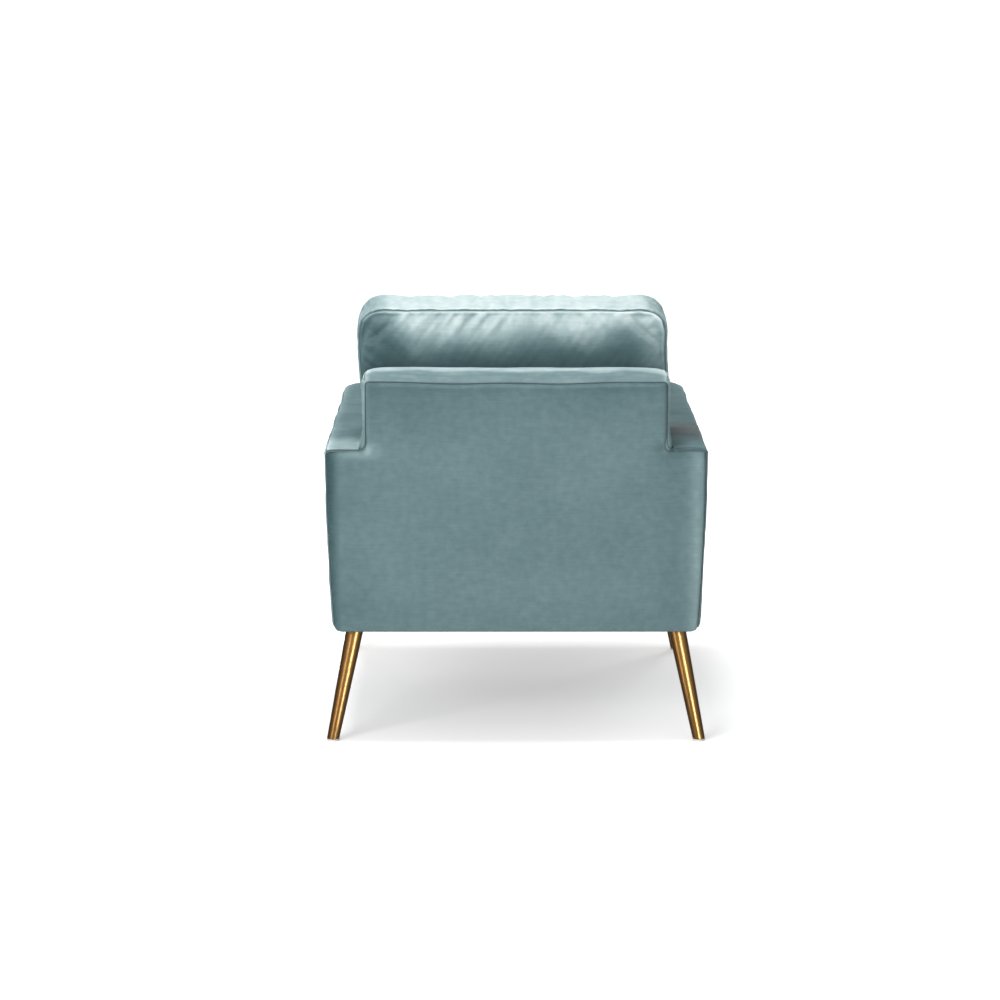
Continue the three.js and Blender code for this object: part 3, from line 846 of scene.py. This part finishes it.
def wrapSeams():
    # the top strip is sewn to the two sides of the back
    values = backWrapShape
    top = body["backTop"] - 0.0038
    front = values["foot"] + (body["backTop"] - values["seatLine"]) * math.tan(backTilt)
    paths = []
    for side in (1, -1):
        x = side * (body["backHalf"] - 0.0023)
        corners = [(x, values["rear"] - 0.004, top), (x, front + 0.004, top), (x, values["foot"] + 0.05, 0.53)]
        paths.append(densePath(corners, closed=False))
    return paths


def addBackWrap():
    values = backWrapShape
    rise = body["backTop"] - values["seatLine"]
    top = body["backTop"] - 0.0015
    profile = [
        (values["foot"], values["seatLine"]),
        (values["rear"], values["seatLine"]),
        (values["rear"], top),
        (values["foot"] + rise * math.tan(backTilt), top),
    ]
    half = body["backHalf"] + values["sideSwell"]
    bm = slab(profile, lambda u, v: (-half, u, v), (2 * half, 0, 0))
    wrap = softForm("insideBackWrap", bm, list(bm.edges), values["edge"], values["voxel"])
    points, outward = surface(wrap)
    x, y, z = points[:, 0], points[:, 1], points[:, 2]
    up = np.clip(outward[:, 2], 0, 1)
    sideways = np.abs(outward[:, 0])
    front = values["foot"] + rise * math.tan(backTilt)
    deep = values["rear"] - front
    arch = np.clip(1 - ((y - (front + values["rear"]) / 2) / (deep / 2)) ** 2, 0, 1)
    ends = np.clip(1 - (x / half) ** 24, 0, 1)
    lift = values["crown"] * arch * ends * smoothStep(top - 0.02, top, z)
    bow = values["sideCrown"] * sideways * smoothStep(body["armTop"], body["armTop"] + 0.08, z)
    ripple = soften(points, (0.10, 0.06, 0.08), 3.9) * 0.0020
    pucker = soften(points, (0.022, 0.09, 0.09), 12.0) * 0.0014 * np.exp(-(values["rear"] - y) / 0.03) * up
    points += outward * (bow + ripple + pucker)[:, None]
    pressed = smoothStep(0.634, 0.604, z) * smoothStep(half - 0.05, half - 0.01, np.abs(x))
    points[:, 0] += np.where(x > 0, values["pressOut"][1], -values["pressOut"][0]) * pressed
    atRear = smoothStep(values["rear"] - 0.06, values["rear"] - 0.01, y)
    points[:, 2] += lift + topSag(x) * atRear * smoothStep(top - 0.02, top, z)
    setCoordinates(wrap, points)
    gap = pressSeams(wrap, wrapSeams())
    smoothShade(wrap)
    points, outward = surface(wrap)
    x, y, z = points[:, 0], points[:, 1], points[:, 2]
    up = smoothStep(0.3, 0.8, outward[:, 2])
    edgeWave = soften(points, (0.09, 1, 1), 21.0) * 0.018
    nearSeam = smoothStep(-0.010, 0.006, y + edgeWave - (values["rear"] - values["stripe"]))
    streaks = soften(points, (0.16, 0.010, 0.05), 7.0) * 0.07 + soften(points, (0.04, 0.02, 0.05), 17.0) * 0.05
    # painted highlight at the two ends of the top strip
    paintedEndHighlight = 0.16 * smoothStep(half - 0.02, half - 0.004, np.abs(x))
    topNapAndPaintedLight = values["topNapAndPaintedLight"] + values["stripeNap"] * nearSeam + streaks + paintedEndHighlight
    sideNap = values["sideNap"] + soften(points, (0.1, 0.06, 0.08), 3.3) * 0.10
    # the top strip is painted much lighter than the sides, as light from above would make it
    setNapAndPaintedLight(wrap, sideNap * (1 - up) + topNapAndPaintedLight * up + seamShadeAndHighlight(gap))
    finishPiece(wrap, "chair_frame", "velvet", "velvet", "inside_back_cover", "inside_back_padding")
    addCords("insideBackSeams", wrapSeams(), "chair_frame", wrap)


frontBandShape = {"thick": 0.008, "topThick": 0.005, "edge": 0.0022, "voxel": 0.0028, "napAndPaintedLight": 0.43}


def addFrontBand():
    values = frontBandShape
    low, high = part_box("front_rail_cover")
    inside = low[1] + values["thick"]
    under = high[2] - values["topThick"]
    profile = [(low[1], low[2]), (low[1], high[2]), (high[1], high[2]), (high[1], under), (inside, under),
               (inside, low[2])]
    bm = slab(profile, lambda u, v: (low[0], u, v), (high[0] - low[0], 0, 0))
    bevelEdges(bm, sharpEdges(bm), values["edge"], 2)
    bmesh.ops.triangulate(bm, faces=[f for f in bm.faces if len(f.verts) > 4])
    band = meshObject("frontRailBand", bm)
    remesh(band, values["voxel"])
    points, outward = surface(band)
    facing = np.clip(-outward[:, 1], 0, 1)
    wave = soften(points, (0.10, 1, 0.07), 5.0) * 0.002
    points[:, 1] -= (wave + 0.001) * facing * smoothStep(low[2], low[2] + 0.01, points[:, 2])
    setCoordinates(band, points)
    smoothShade(band)
    setNapAndPaintedLight(band, values["napAndPaintedLight"] + soften(points, (0.12, 1, 0.08), 9.0) * 0.18)
    finishPiece(band, "chair_frame", "velvet", "velvet", "front_rail_cover", "front_rail_padding")


# ---------- loose cushions

def roundedOutline(corners, steps=6):
    # corners are (u, v, radius); each is replaced by an arc
    points = []
    count = len(corners)
    for i, (u, v, radius) in enumerate(corners):
        here = Vector((u, v))
        before = (Vector(corners[i - 1][:2]) - here).normalized()
        after = (Vector(corners[(i + 1) % count][:2]) - here).normalized()
        start = here + before * radius
        end = here + after * radius
        for step in range(steps + 1):
            t = step / steps
            points.append(tuple(start.lerp(here, t).lerp(here.lerp(end, t), t)))
    return points


def outlineDistance(points, outline):
    # nearest distance to a closed outline, and how far along it that is
    start = np.array(outline)
    span = np.roll(start, -1, axis=0) - start
    length = np.linalg.norm(span, axis=1)
    keep = length > 1e-6
    start, span, length = start[keep], span[keep], length[keep]
    begun = np.concatenate([[0], np.cumsum(length)[:-1]])
    best = np.full(len(points), 9.0)
    along = np.zeros(len(points))
    for s, d, l, b in zip(start, span, length, begun):
        t = np.clip(((points - s) @ d) / (l * l), 0, 1)
        gap = np.linalg.norm(points - s - t[:, None] * d, axis=1)
        nearer = gap < best
        best[nearer] = gap[nearer]
        along[nearer] = b + t[nearer] * l
    return best, along


def inflate(cushion, pinned, values):
    start = coordinates(cushion)
    group = cushion.vertex_groups.new(name="seams")
    group.add([int(i) for i in np.nonzero(pinned)[0]], 1.0, "REPLACE")
    cloth = cushion.modifiers.new("inflate", "CLOTH")
    settings = cloth.settings
    settings.quality = 4
    settings.mass = 0.35
    settings.tension_stiffness = 12
    settings.compression_stiffness = 12
    settings.shear_stiffness = 4
    settings.bending_stiffness = values["bending"]
    settings.shrink_min = -values["slack"]
    settings.use_pressure = True
    settings.uniform_pressure_force = values["pressure"]
    settings.effector_weights.gravity = 0
    settings.vertex_group_mass = "seams"
    cloth.collision_settings.use_collision = False
    cloth.collision_settings.use_self_collision = False
    cloth.point_cache.frame_start = 1
    cloth.point_cache.frame_end = values["frames"]
    for step in range(1, values["frames"] + 1):
        bpy.context.scene.frame_set(step)
    applyModifiers(cushion)
    bpy.context.scene.frame_set(1)
    cushion.vertex_groups.clear()
    moved = coordinates(cushion) - start
    size = np.linalg.norm(moved, axis=1)
    middle = (values["low"] + values["high"]) / 2
    onFace = smoothStep(0.0, 0.02, np.abs(start[:, 2] - middle) - (values["high"] - values["low"]) / 2 + 0.02)
    most = values["boxingSwell"] + (values["swell"] - values["boxingSwell"]) * onFace
    limit = most * np.tanh(size / most)
    setCoordinates(cushion, start + moved * (limit / np.maximum(size, 1e-9))[:, None])


def boxedCushion(name, corners, low, high, values):
    # in the cushion's own frame: outline in x and y, boxing from low to high
    outline = roundedOutline(corners)
    bm = slab(outline, lambda u, v: (u, v, low), (0, 0, high - low))
    cushion = meshObject(name, bm)
    remesh(cushion, values["voxel"])
    points = coordinates(cushion)
    gap, _ = outlineDistance(points[:, :2], outline)
    rim = np.minimum(np.abs(points[:, 2] - low), np.abs(points[:, 2] - high))
    onSeam = np.hypot(gap, rim)
    # crowned faces before the pressure, so that the pile of foam reads through
    inward = smoothStep(0, values["crownReach"], gap)
    face = np.clip((points[:, 2] - (low + high) / 2) / ((high - low) / 2), -1, 1)
    swell = np.where(face > 0, values["crownHigh"], values["crownLow"])
    points[:, 2] += face ** 5 * swell * inward
    setCoordinates(cushion, points)
    inflate(cushion, onSeam < values["voxel"] * 0.75, values)
    subdivide(cushion)
    print(name, len(cushion.data.vertices), "points")
    return cushion, outline


def seamPucker(along, inside, values, seed):
    # short tucks that start at a seam and die out into the cloth
    wave = np.array([noise.noise(Vector((a / values["puckerWidth"], d / values["puckerLength"], seed)))
                     for a, d in zip(along, inside)])
    fade = np.exp(-inside / values["puckerFade"]) * smoothStep(0.001, 0.013, inside)
    return wave * fade * values["puckerDepth"]


def faceShares(w, values):
    # how far each point belongs to the low face, to the high face and to the boxing between them
    lowFace = smoothStep(values["low"] + 0.006, values["low"] - 0.004, w)
    highFace = smoothStep(values["high"] - 0.006, values["high"] + 0.004, w)
    return lowFace, highFace, (1 - lowFace) * (1 - highFace)


def moveMesh(thing, matrix):
    thing.data.transform(matrix)
    thing.data.update()


backShape = {
    "lowHalf": 0.2935, "highHalf": 0.3090, "step": 0.116, "bottom": 0.006, "top": 0.3745,
    "corner": 0.050, "footCorner": 0.022, "stepCorner": 0.012, "stepRise": 0.022, "low": 0.022, "high": 0.128,
    "voxel": 0.0056, "crownLow": 0.003, "crownHigh": 0.014, "crownReach": 0.09,
    "swell": 0.012, "boxingSwell": 0.006, "pressure": 4.0, "slack": 0.035, "bending": 0.4, "frames": 20,
    "puckerWidth": 0.016, "puckerLength": 0.12, "puckerFade": 0.040, "puckerDepth": 0.0060,
    "leanOver": 0.007,    # the loose cushion sits a little towards the sitter's left
    "foot": (0, 0.2265, 0.486),
    "frameTop": 0.262,    # how far up the cushion the frame behind it reaches
    "paintedShadeNap": 0.195, "paintedLightNap": 0.53, "topNapAndPaintedLight": 0.86,
}


def backMatrix():
    tilt = Matrix.Rotation(-backTilt, 4, "X")
    # own x, y and z become across, up the back and forward
    turn = Matrix(((1, 0, 0, 0), (0, 0, -1, 0), (0, 1, 0, 0), (0, 0, 0, 1)))
    return Matrix.Translation(backShape["foot"]) @ tilt @ turn


def cushionSeams(outline, values):
    return [densePath([(u, v, w) for u, v in outline]) for w in (values["low"], values["high"])]


def addBackCushion():
    values = backShape
    right = [
        (values["lowHalf"], values["bottom"], values["footCorner"]),
        (values["lowHalf"], values["step"], values["stepCorner"]),
        (values["highHalf"], values["step"] + values["stepRise"], values["stepCorner"]),
        (values["highHalf"], values["top"], values["corner"]),
    ]
    corners = right + [(-u, v, r) for u, v, r in reversed(right)]
    cushion, outline = boxedCushion("backCushion", corners, values["low"], values["high"], values)
    points, outward = surface(cushion)
    gap, along = outlineDistance(points[:, :2], outline)
    u, v, w = points[:, 0], points[:, 1], points[:, 2]
    rearFace, frontFace, boxing = faceShares(w, values)
    # tucks lean over on the sitter's left and stand upright on the right
    lean = 0.8 * smoothStep(-0.16, 0.02, u)
    nearTop = smoothStep(0.20, 0.26, v)
    deeper = 0.35 + 0.65 * smoothStep(-0.02, 0.08, u)
    rearTucks = seamPucker(along + lean * gap, gap, values, 7.5) * deeper * nearTop
    frontTucks = seamPucker(along, gap, values, 1.5) * (1 - 0.92 * nearTop)
    tucks = 0.95 * frontTucks * frontFace + 0.7 * rearTucks * rearFace
    fromRim = np.clip(np.minimum(w - values["low"], values["high"] - w), 0, 1)
    tucks += seamPucker(along, fromRim, values, 4.0) * 0.28 * (1 - 0.6 * nearTop) * boxing
    broad = soften(points, (0.11, 0.07, 0.2), 2.0) * 0.004 * (1 - 0.7 * nearTop)
    points += outward * (tucks + broad * np.clip(gap / 0.05, 0, 1))[:, None]
    setCoordinates(cushion, points)
    seams = cushionSeams(outline, values)
    seamDistance = pressSeams(cushion, seams)
    points = coordinates(cushion)
    # kept off the frame behind it below its top edge, and off the seat
    behind = points[:, 1] < values["frameTop"]
    points[:, 2] = np.where(behind, np.maximum(points[:, 2], 0.0005), points[:, 2])
    points[:, 1] -= 0.018 * smoothStep(0.05, 0.0, points[:, 1]) * smoothStep(0.0, 0.15, points[:, 2])
    leanOver = lambda height: values["leanOver"] * smoothStep(0.16, 0.30, height)
    points[:, 0] += leanOver(points[:, 1])
    setCoordinates(cushion, points)
    smoothShade(cushion)
    outward = normals(cushion)
    u, v, w = points[:, 0], points[:, 1], points[:, 2]
    rearFace, _, boxing = faceShares(w, values)
    # painted light: lighter where the surface turns up the back, darker where it turns down
    napAndPaintedLight = 0.43 + soften(points, (0.08, 0.06, 0.2), 6.0) * 0.12 + outward[:, 1] * 0.20
    # the rear face: painted light above a slanting, wavy line and painted shade below it, as a top light falls
    # on its crown
    line = 0.305 + 0.044 * smoothStep(0.19, 0.29, u) + 0.022 * smoothStep(-0.08, -0.27, u)
    line += 0.022 * soften(points, (0.07, 0.10, 1), 3.3) - 0.012 * np.exp(-((u - 0.15) / 0.05) ** 2)
    light = smoothStep(-0.044, 0.052, v - line)
    # painted light and shade again, by how far each spot tilts up or down
    upward = np.clip(outward[:, 1] * 0.35, -0.10, 0.10)
    brushed = np.stack([(0.8 * u + 0.6 * v) / 0.010, (0.8 * v - 0.6 * u) / 0.080, w * 0], axis=1)
    rearNapAndPaintedLight = values["paintedShadeNap"] + values["paintedLightNap"] * light + upward
    rearNapAndPaintedLight += soften(points, (0.05, 0.03, 0.2), 8.0) * 0.035 + soften(brushed, 1.0, 2.0) * 0.045
    # painted light towards the sitter's right end of the rear face, painted shade towards the left
    rearNapAndPaintedLight += 0.24 * smoothStep(-0.22, -0.28, u) * (1 - light) + 0.16 * smoothStep(-0.10, -0.24, u) * light
    rearNapAndPaintedLight -= 0.05 * smoothStep(0.20, 0.26, u) + 0.06 * smoothStep(0.25, 0.30, u) * light
    napAndPaintedLight = napAndPaintedLight * (1 - rearFace) + rearNapAndPaintedLight * rearFace
    # painted sheen: the top boxing painted light, less so towards its ends
    onTop = smoothStep(0.3, 0.8, outward[:, 1]) * boxing
    topNapAndPaintedLight = values["topNapAndPaintedLight"] + soften(points, (0.016, 1, 0.08), 5.5) * 0.06
    topNapAndPaintedLight -= 0.25 * smoothStep(0.24, 0.30, np.abs(u))
    napAndPaintedLight = napAndPaintedLight * (1 - onTop) + topNapAndPaintedLight * onTop + 0.8 * seamShadeAndHighlight(seamDistance)
    setNapAndPaintedLight(cushion, napAndPaintedLight)
    matrix = backMatrix()
    moveMesh(cushion, matrix)
    finishPiece(cushion, "back_cushion", "cushionVelvet", "velvet", "back_cushion_cover", "back_cushion_core")
    laid = []
    for path, closed in seams:
        moved = [matrix @ (p + Vector((float(leanOver(p.y)), 0, 0))) for p in path]
        laid.append((moved, closed))
    addCords("backCushionSeams", laid, "back_cushion", cushion)


seatShape = {
    "half": 0.2955, "front": -0.390, "rear": 0.190, "corner": 0.024, "low": 0.010, "high": 0.124,
    "voxel": 0.0060, "crownLow": 0.004, "crownHigh": 0.014, "crownReach": 0.13,
    "swell": 0.009, "boxingSwell": 0.007, "pressure": 4.0, "slack": 0.03, "bending": 0.5, "frames": 18,
    "puckerWidth": 0.020, "puckerLength": 0.12, "puckerFade": 0.035, "puckerDepth": 0.0045,
    "base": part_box("seat_cushion_cover")[0][2],
}


def addSeatCushion():
    values = seatShape
    half, front, rear, corner = values["half"], values["front"], values["rear"], values["corner"]
    corners = [(-half, front, corner), (half, front, corner), (half, rear, corner), (-half, rear, corner)]
    cushion, outline = boxedCushion("seatCushion", corners, values["low"], values["high"], values)
    points, outward = surface(cushion)
    gap, along = outlineDistance(points[:, :2], outline)
    w = points[:, 2]
    _, topFace, boxing = faceShares(w, values)
    fromRim = np.minimum(w - values["low"], values["high"] - w)
    tucks = seamPucker(along, gap, values, 2.5) * topFace
    tucks += seamPucker(along, np.clip(fromRim, 0, 1), values, 9.0) * 0.6 * boxing
    broad = soften(points, (0.13, 0.13, 0.2), 14.0) * 0.006 * topFace
    points += outward * (tucks + broad * np.clip(gap / 0.05, 0, 1))[:, None]
    setCoordinates(cushion, points)
    seams = cushionSeams(outline, values)
    seamDistance = pressSeams(cushion, seams)
    points = coordinates(cushion)
    points[:, 2] = np.maximum(points[:, 2], 0.0006)
    setCoordinates(cushion, points)
    smoothShade(cushion)
    outward = normals(cushion)
    topFace = smoothStep(0.4, 0.9, outward[:, 2])
    napAndPaintedLight = 0.42 + soften(points, (0.15, 0.13, 0.2), 31.0) * 0.14 + soften(points, (0.05, 0.05, 0.1), 8.0) * 0.09
    # painted light on the top face: lighter overall and where it tilts forward, darker where it tilts back
    napAndPaintedLight += 0.05 * topFace - outward[:, 1] * 0.30 * topFace
    setNapAndPaintedLight(cushion, napAndPaintedLight + seamShadeAndHighlight(seamDistance))
    matrix = Matrix.Translation((0, 0, values["base"]))
    moveMesh(cushion, matrix)
    finishPiece(cushion, "seat_cushion", "cushionVelvet", "velvet", "seat_cushion_cover", "seat_cushion_core")
    laid = [([matrix @ p for p in path], closed) for path, closed in seams]
    addCords("seatCushionSeams", laid, "seat_cushion", cushion)


# ---------- legs, glides and underside

legShape = {"footRadius": 0.0125, "topRadius": 0.018, "rim": 0.0012, "sides": 64, "top": (0.323, 0.345),
            "studRadius": 0.004, "studLength": 0.03, "studRise": 0.010, "gap": 0.0003}


def roundBar(low, high, length, sides, rim, rimSteps):
    # low and high are the radii at the two ends
    bm = bmesh.new()
    bmesh.ops.create_cone(bm, cap_ends=True, segments=sides, radius1=low, radius2=high, depth=length)
    bevelEdges(bm, sharpEdges(bm, 0.9), rim, rimSteps)
    return bm


def smoothSides(thing):
    for face in thing.data.polygons:
        face.use_smooth = abs(face.normal.z) < 0.6


def addLeg(endName, sideName):
    values = legShape
    node = f"{endName}_{sideName}_leg"
    side = 1 if sideName == "left" else -1
    end = 1 if endName == "rear" else -1
    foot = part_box(f"{endName}_{sideName}_glide")
    footCentre = (Vector(foot[0]) + Vector(foot[1])) / 2
    footCentre.z = foot[1][2] + values["gap"]
    topCentre = Vector((side * values["top"][0], end * values["top"][1], body["bottom"] - values["gap"]))
    rise = topCentre.z - footCentre.z
    bm = roundBar(values["footRadius"], values["topRadius"], rise, values["sides"], values["rim"], 3)
    bm.verts.index_update()
    grain = [v.co.copy() for v in bm.verts]
    lean = Matrix.Identity(4)
    lean[0][2] = (topCentre.x - footCentre.x) / rise
    lean[1][2] = (topCentre.y - footCentre.y) / rise
    bm.transform(Matrix.Translation((footCentre + topCentre) / 2) @ lean)
    stud = roundBar(values["studRadius"], values["studRadius"], values["studLength"], 24, 0.0006, 2)
    stud.transform(Matrix.Translation(topCentre + Vector((0, 0, values["studRise"]))))
    spare = bpy.data.meshes.new("studSpare")
    stud.to_mesh(spare)
    stud.free()
    bm.from_mesh(spare)
    bpy.data.meshes.remove(spare)
    leg = meshObject(f"{endName}{sideName.capitalize()}Leg", bm)
    # the brushed lines run along the leg, so they are placed before it leans
    layer = leg.data.attributes.new("grain", "FLOAT_VECTOR", "POINT")
    for i, spot in enumerate(grain):
        layer.data[i].vector = spot
    smoothSides(leg)
    finishPiece(leg, "chair_frame", "brass", "antique_brass", node)


glideShape = {"radius": 0.0128, "flare": 0.0006, "rim": 0.0009, "sides": 48}


def addGlide(endName, sideName):
    values = glideShape
    node = f"{endName}_{sideName}_glide"
    low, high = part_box(node)
    height = high[2] - low[2]
    radius = values["radius"]
    bm = roundBar(radius + values["flare"], radius, height, values["sides"], values["rim"], 3)
    bm.transform(Matrix.Translation(((low[0] + high[0]) / 2, (low[1] + high[1]) / 2, low[2] + height / 2)))
    glide = meshObject(f"{endName}{sideName.capitalize()}Glide", bm)
    smoothSides(glide)
    finishPiece(glide, "chair_frame", "glide", "glide_plastic", node)


def addBlock(bm, size, place, turn=0.0):
    made = bmesh.ops.create_cube(bm, size=1)["verts"]
    bmesh.ops.scale(bm, vec=size, verts=made)
    bmesh.ops.rotate(bm, cent=(0, 0, 0), matrix=Matrix.Rotation(turn, 3, "Z"), verts=made)
    bmesh.ops.translate(bm, vec=place, verts=made)


stapleShape = {"twist": 0.2, "pitch": 0.045, "inset": 0.009, "crown": 0.011, "wire": 0.0012}


def addStaples():
    # one row of staples round the dust cover
    low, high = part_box("dust_cover")
    inset = stapleShape["inset"]
    bm = bmesh.new()
    halves = ((high[0] - low[0]) / 2 - inset, (high[1] - low[1]) / 2 - inset)
    centre = ((high[0] + low[0]) / 2, (high[1] + low[1]) / 2)
    for axis in (0, 1):
        count = int(2 * halves[axis] / stapleShape["pitch"])
        for i in range(count):
            spot = -halves[axis] + (i + 0.5) * 2 * halves[axis] / count
            for side in (1, -1):
                place = [0, 0, low[2] - stapleShape["wire"] * 0.3]
                place[axis] = centre[axis] + spot
                place[1 - axis] = centre[1 - axis] + side * halves[1 - axis]
                size = [stapleShape["wire"]] * 3
                size[axis] = stapleShape["crown"]
                addBlock(bm, size, place, rng.uniform(-stapleShape["twist"], stapleShape["twist"]))
    staples = meshObject("dustCoverStaples", bm)
    finishPiece(staples, "chair_frame", "zinc", "zinc_plate")


zipShape = {"pitch": 0.0028, "tooth": (0.0014, 0.0052, 0.0012), "stagger": 0.0006, "endRoom": 0.012,
            "proud": 0.0009}


def addZipTeeth(name, tapeNode, matrix, outward, body):
    # matrix turns the tape's own x, y and z (along, across, out) to the way it lies
    bm = bmesh.new()
    low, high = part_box(tapeNode)
    length = high[0] - low[0] - zipShape["endRoom"]
    count = int(length / zipShape["pitch"])
    for i in range(count):
        shift = zipShape["stagger"] * (1 if i % 2 else -1)
        addBlock(bm, zipShape["tooth"], ((i + 0.5) * length / count - length / 2, shift, 0))
    teeth = meshObject(name, bm)
    centre = (Vector(low) + Vector(high)) / 2
    moveMesh(teeth, Matrix.Translation(centre + outward) @ matrix)
    finishPiece(teeth, body, "zipTape", "zip_tape")


def addZips():
    seatTurn = Matrix(((1, 0, 0, 0), (0, 0, 1, 0), (0, -1, 0, 0), (0, 0, 0, 1)))
    addZipTeeth("seatZipTeeth", "seat_zip_chain", seatTurn, Vector((0, zipShape["proud"], 0)), "seat_cushion")
    tilt = Matrix.Rotation(-backTilt, 4, "X")
    out = tilt @ Vector((0, 0, -zipShape["proud"]))
    addZipTeeth("backZipTeeth", "back_zip_chain", tilt, out, "back_cushion")


addCamera()
addStage()
finishCadNodes()
addRearPanel()
addBackWrap()
for sideName, side in (("left", 1), ("right", -1)):
    addArm(sideName, side)
    for endName in ("front", "rear"):
        addLeg(endName, sideName)
        addGlide(endName, sideName)
addFrontBand()
print("body done")
addBackCushion()
addSeatCushion()
addStaples()
addZips()
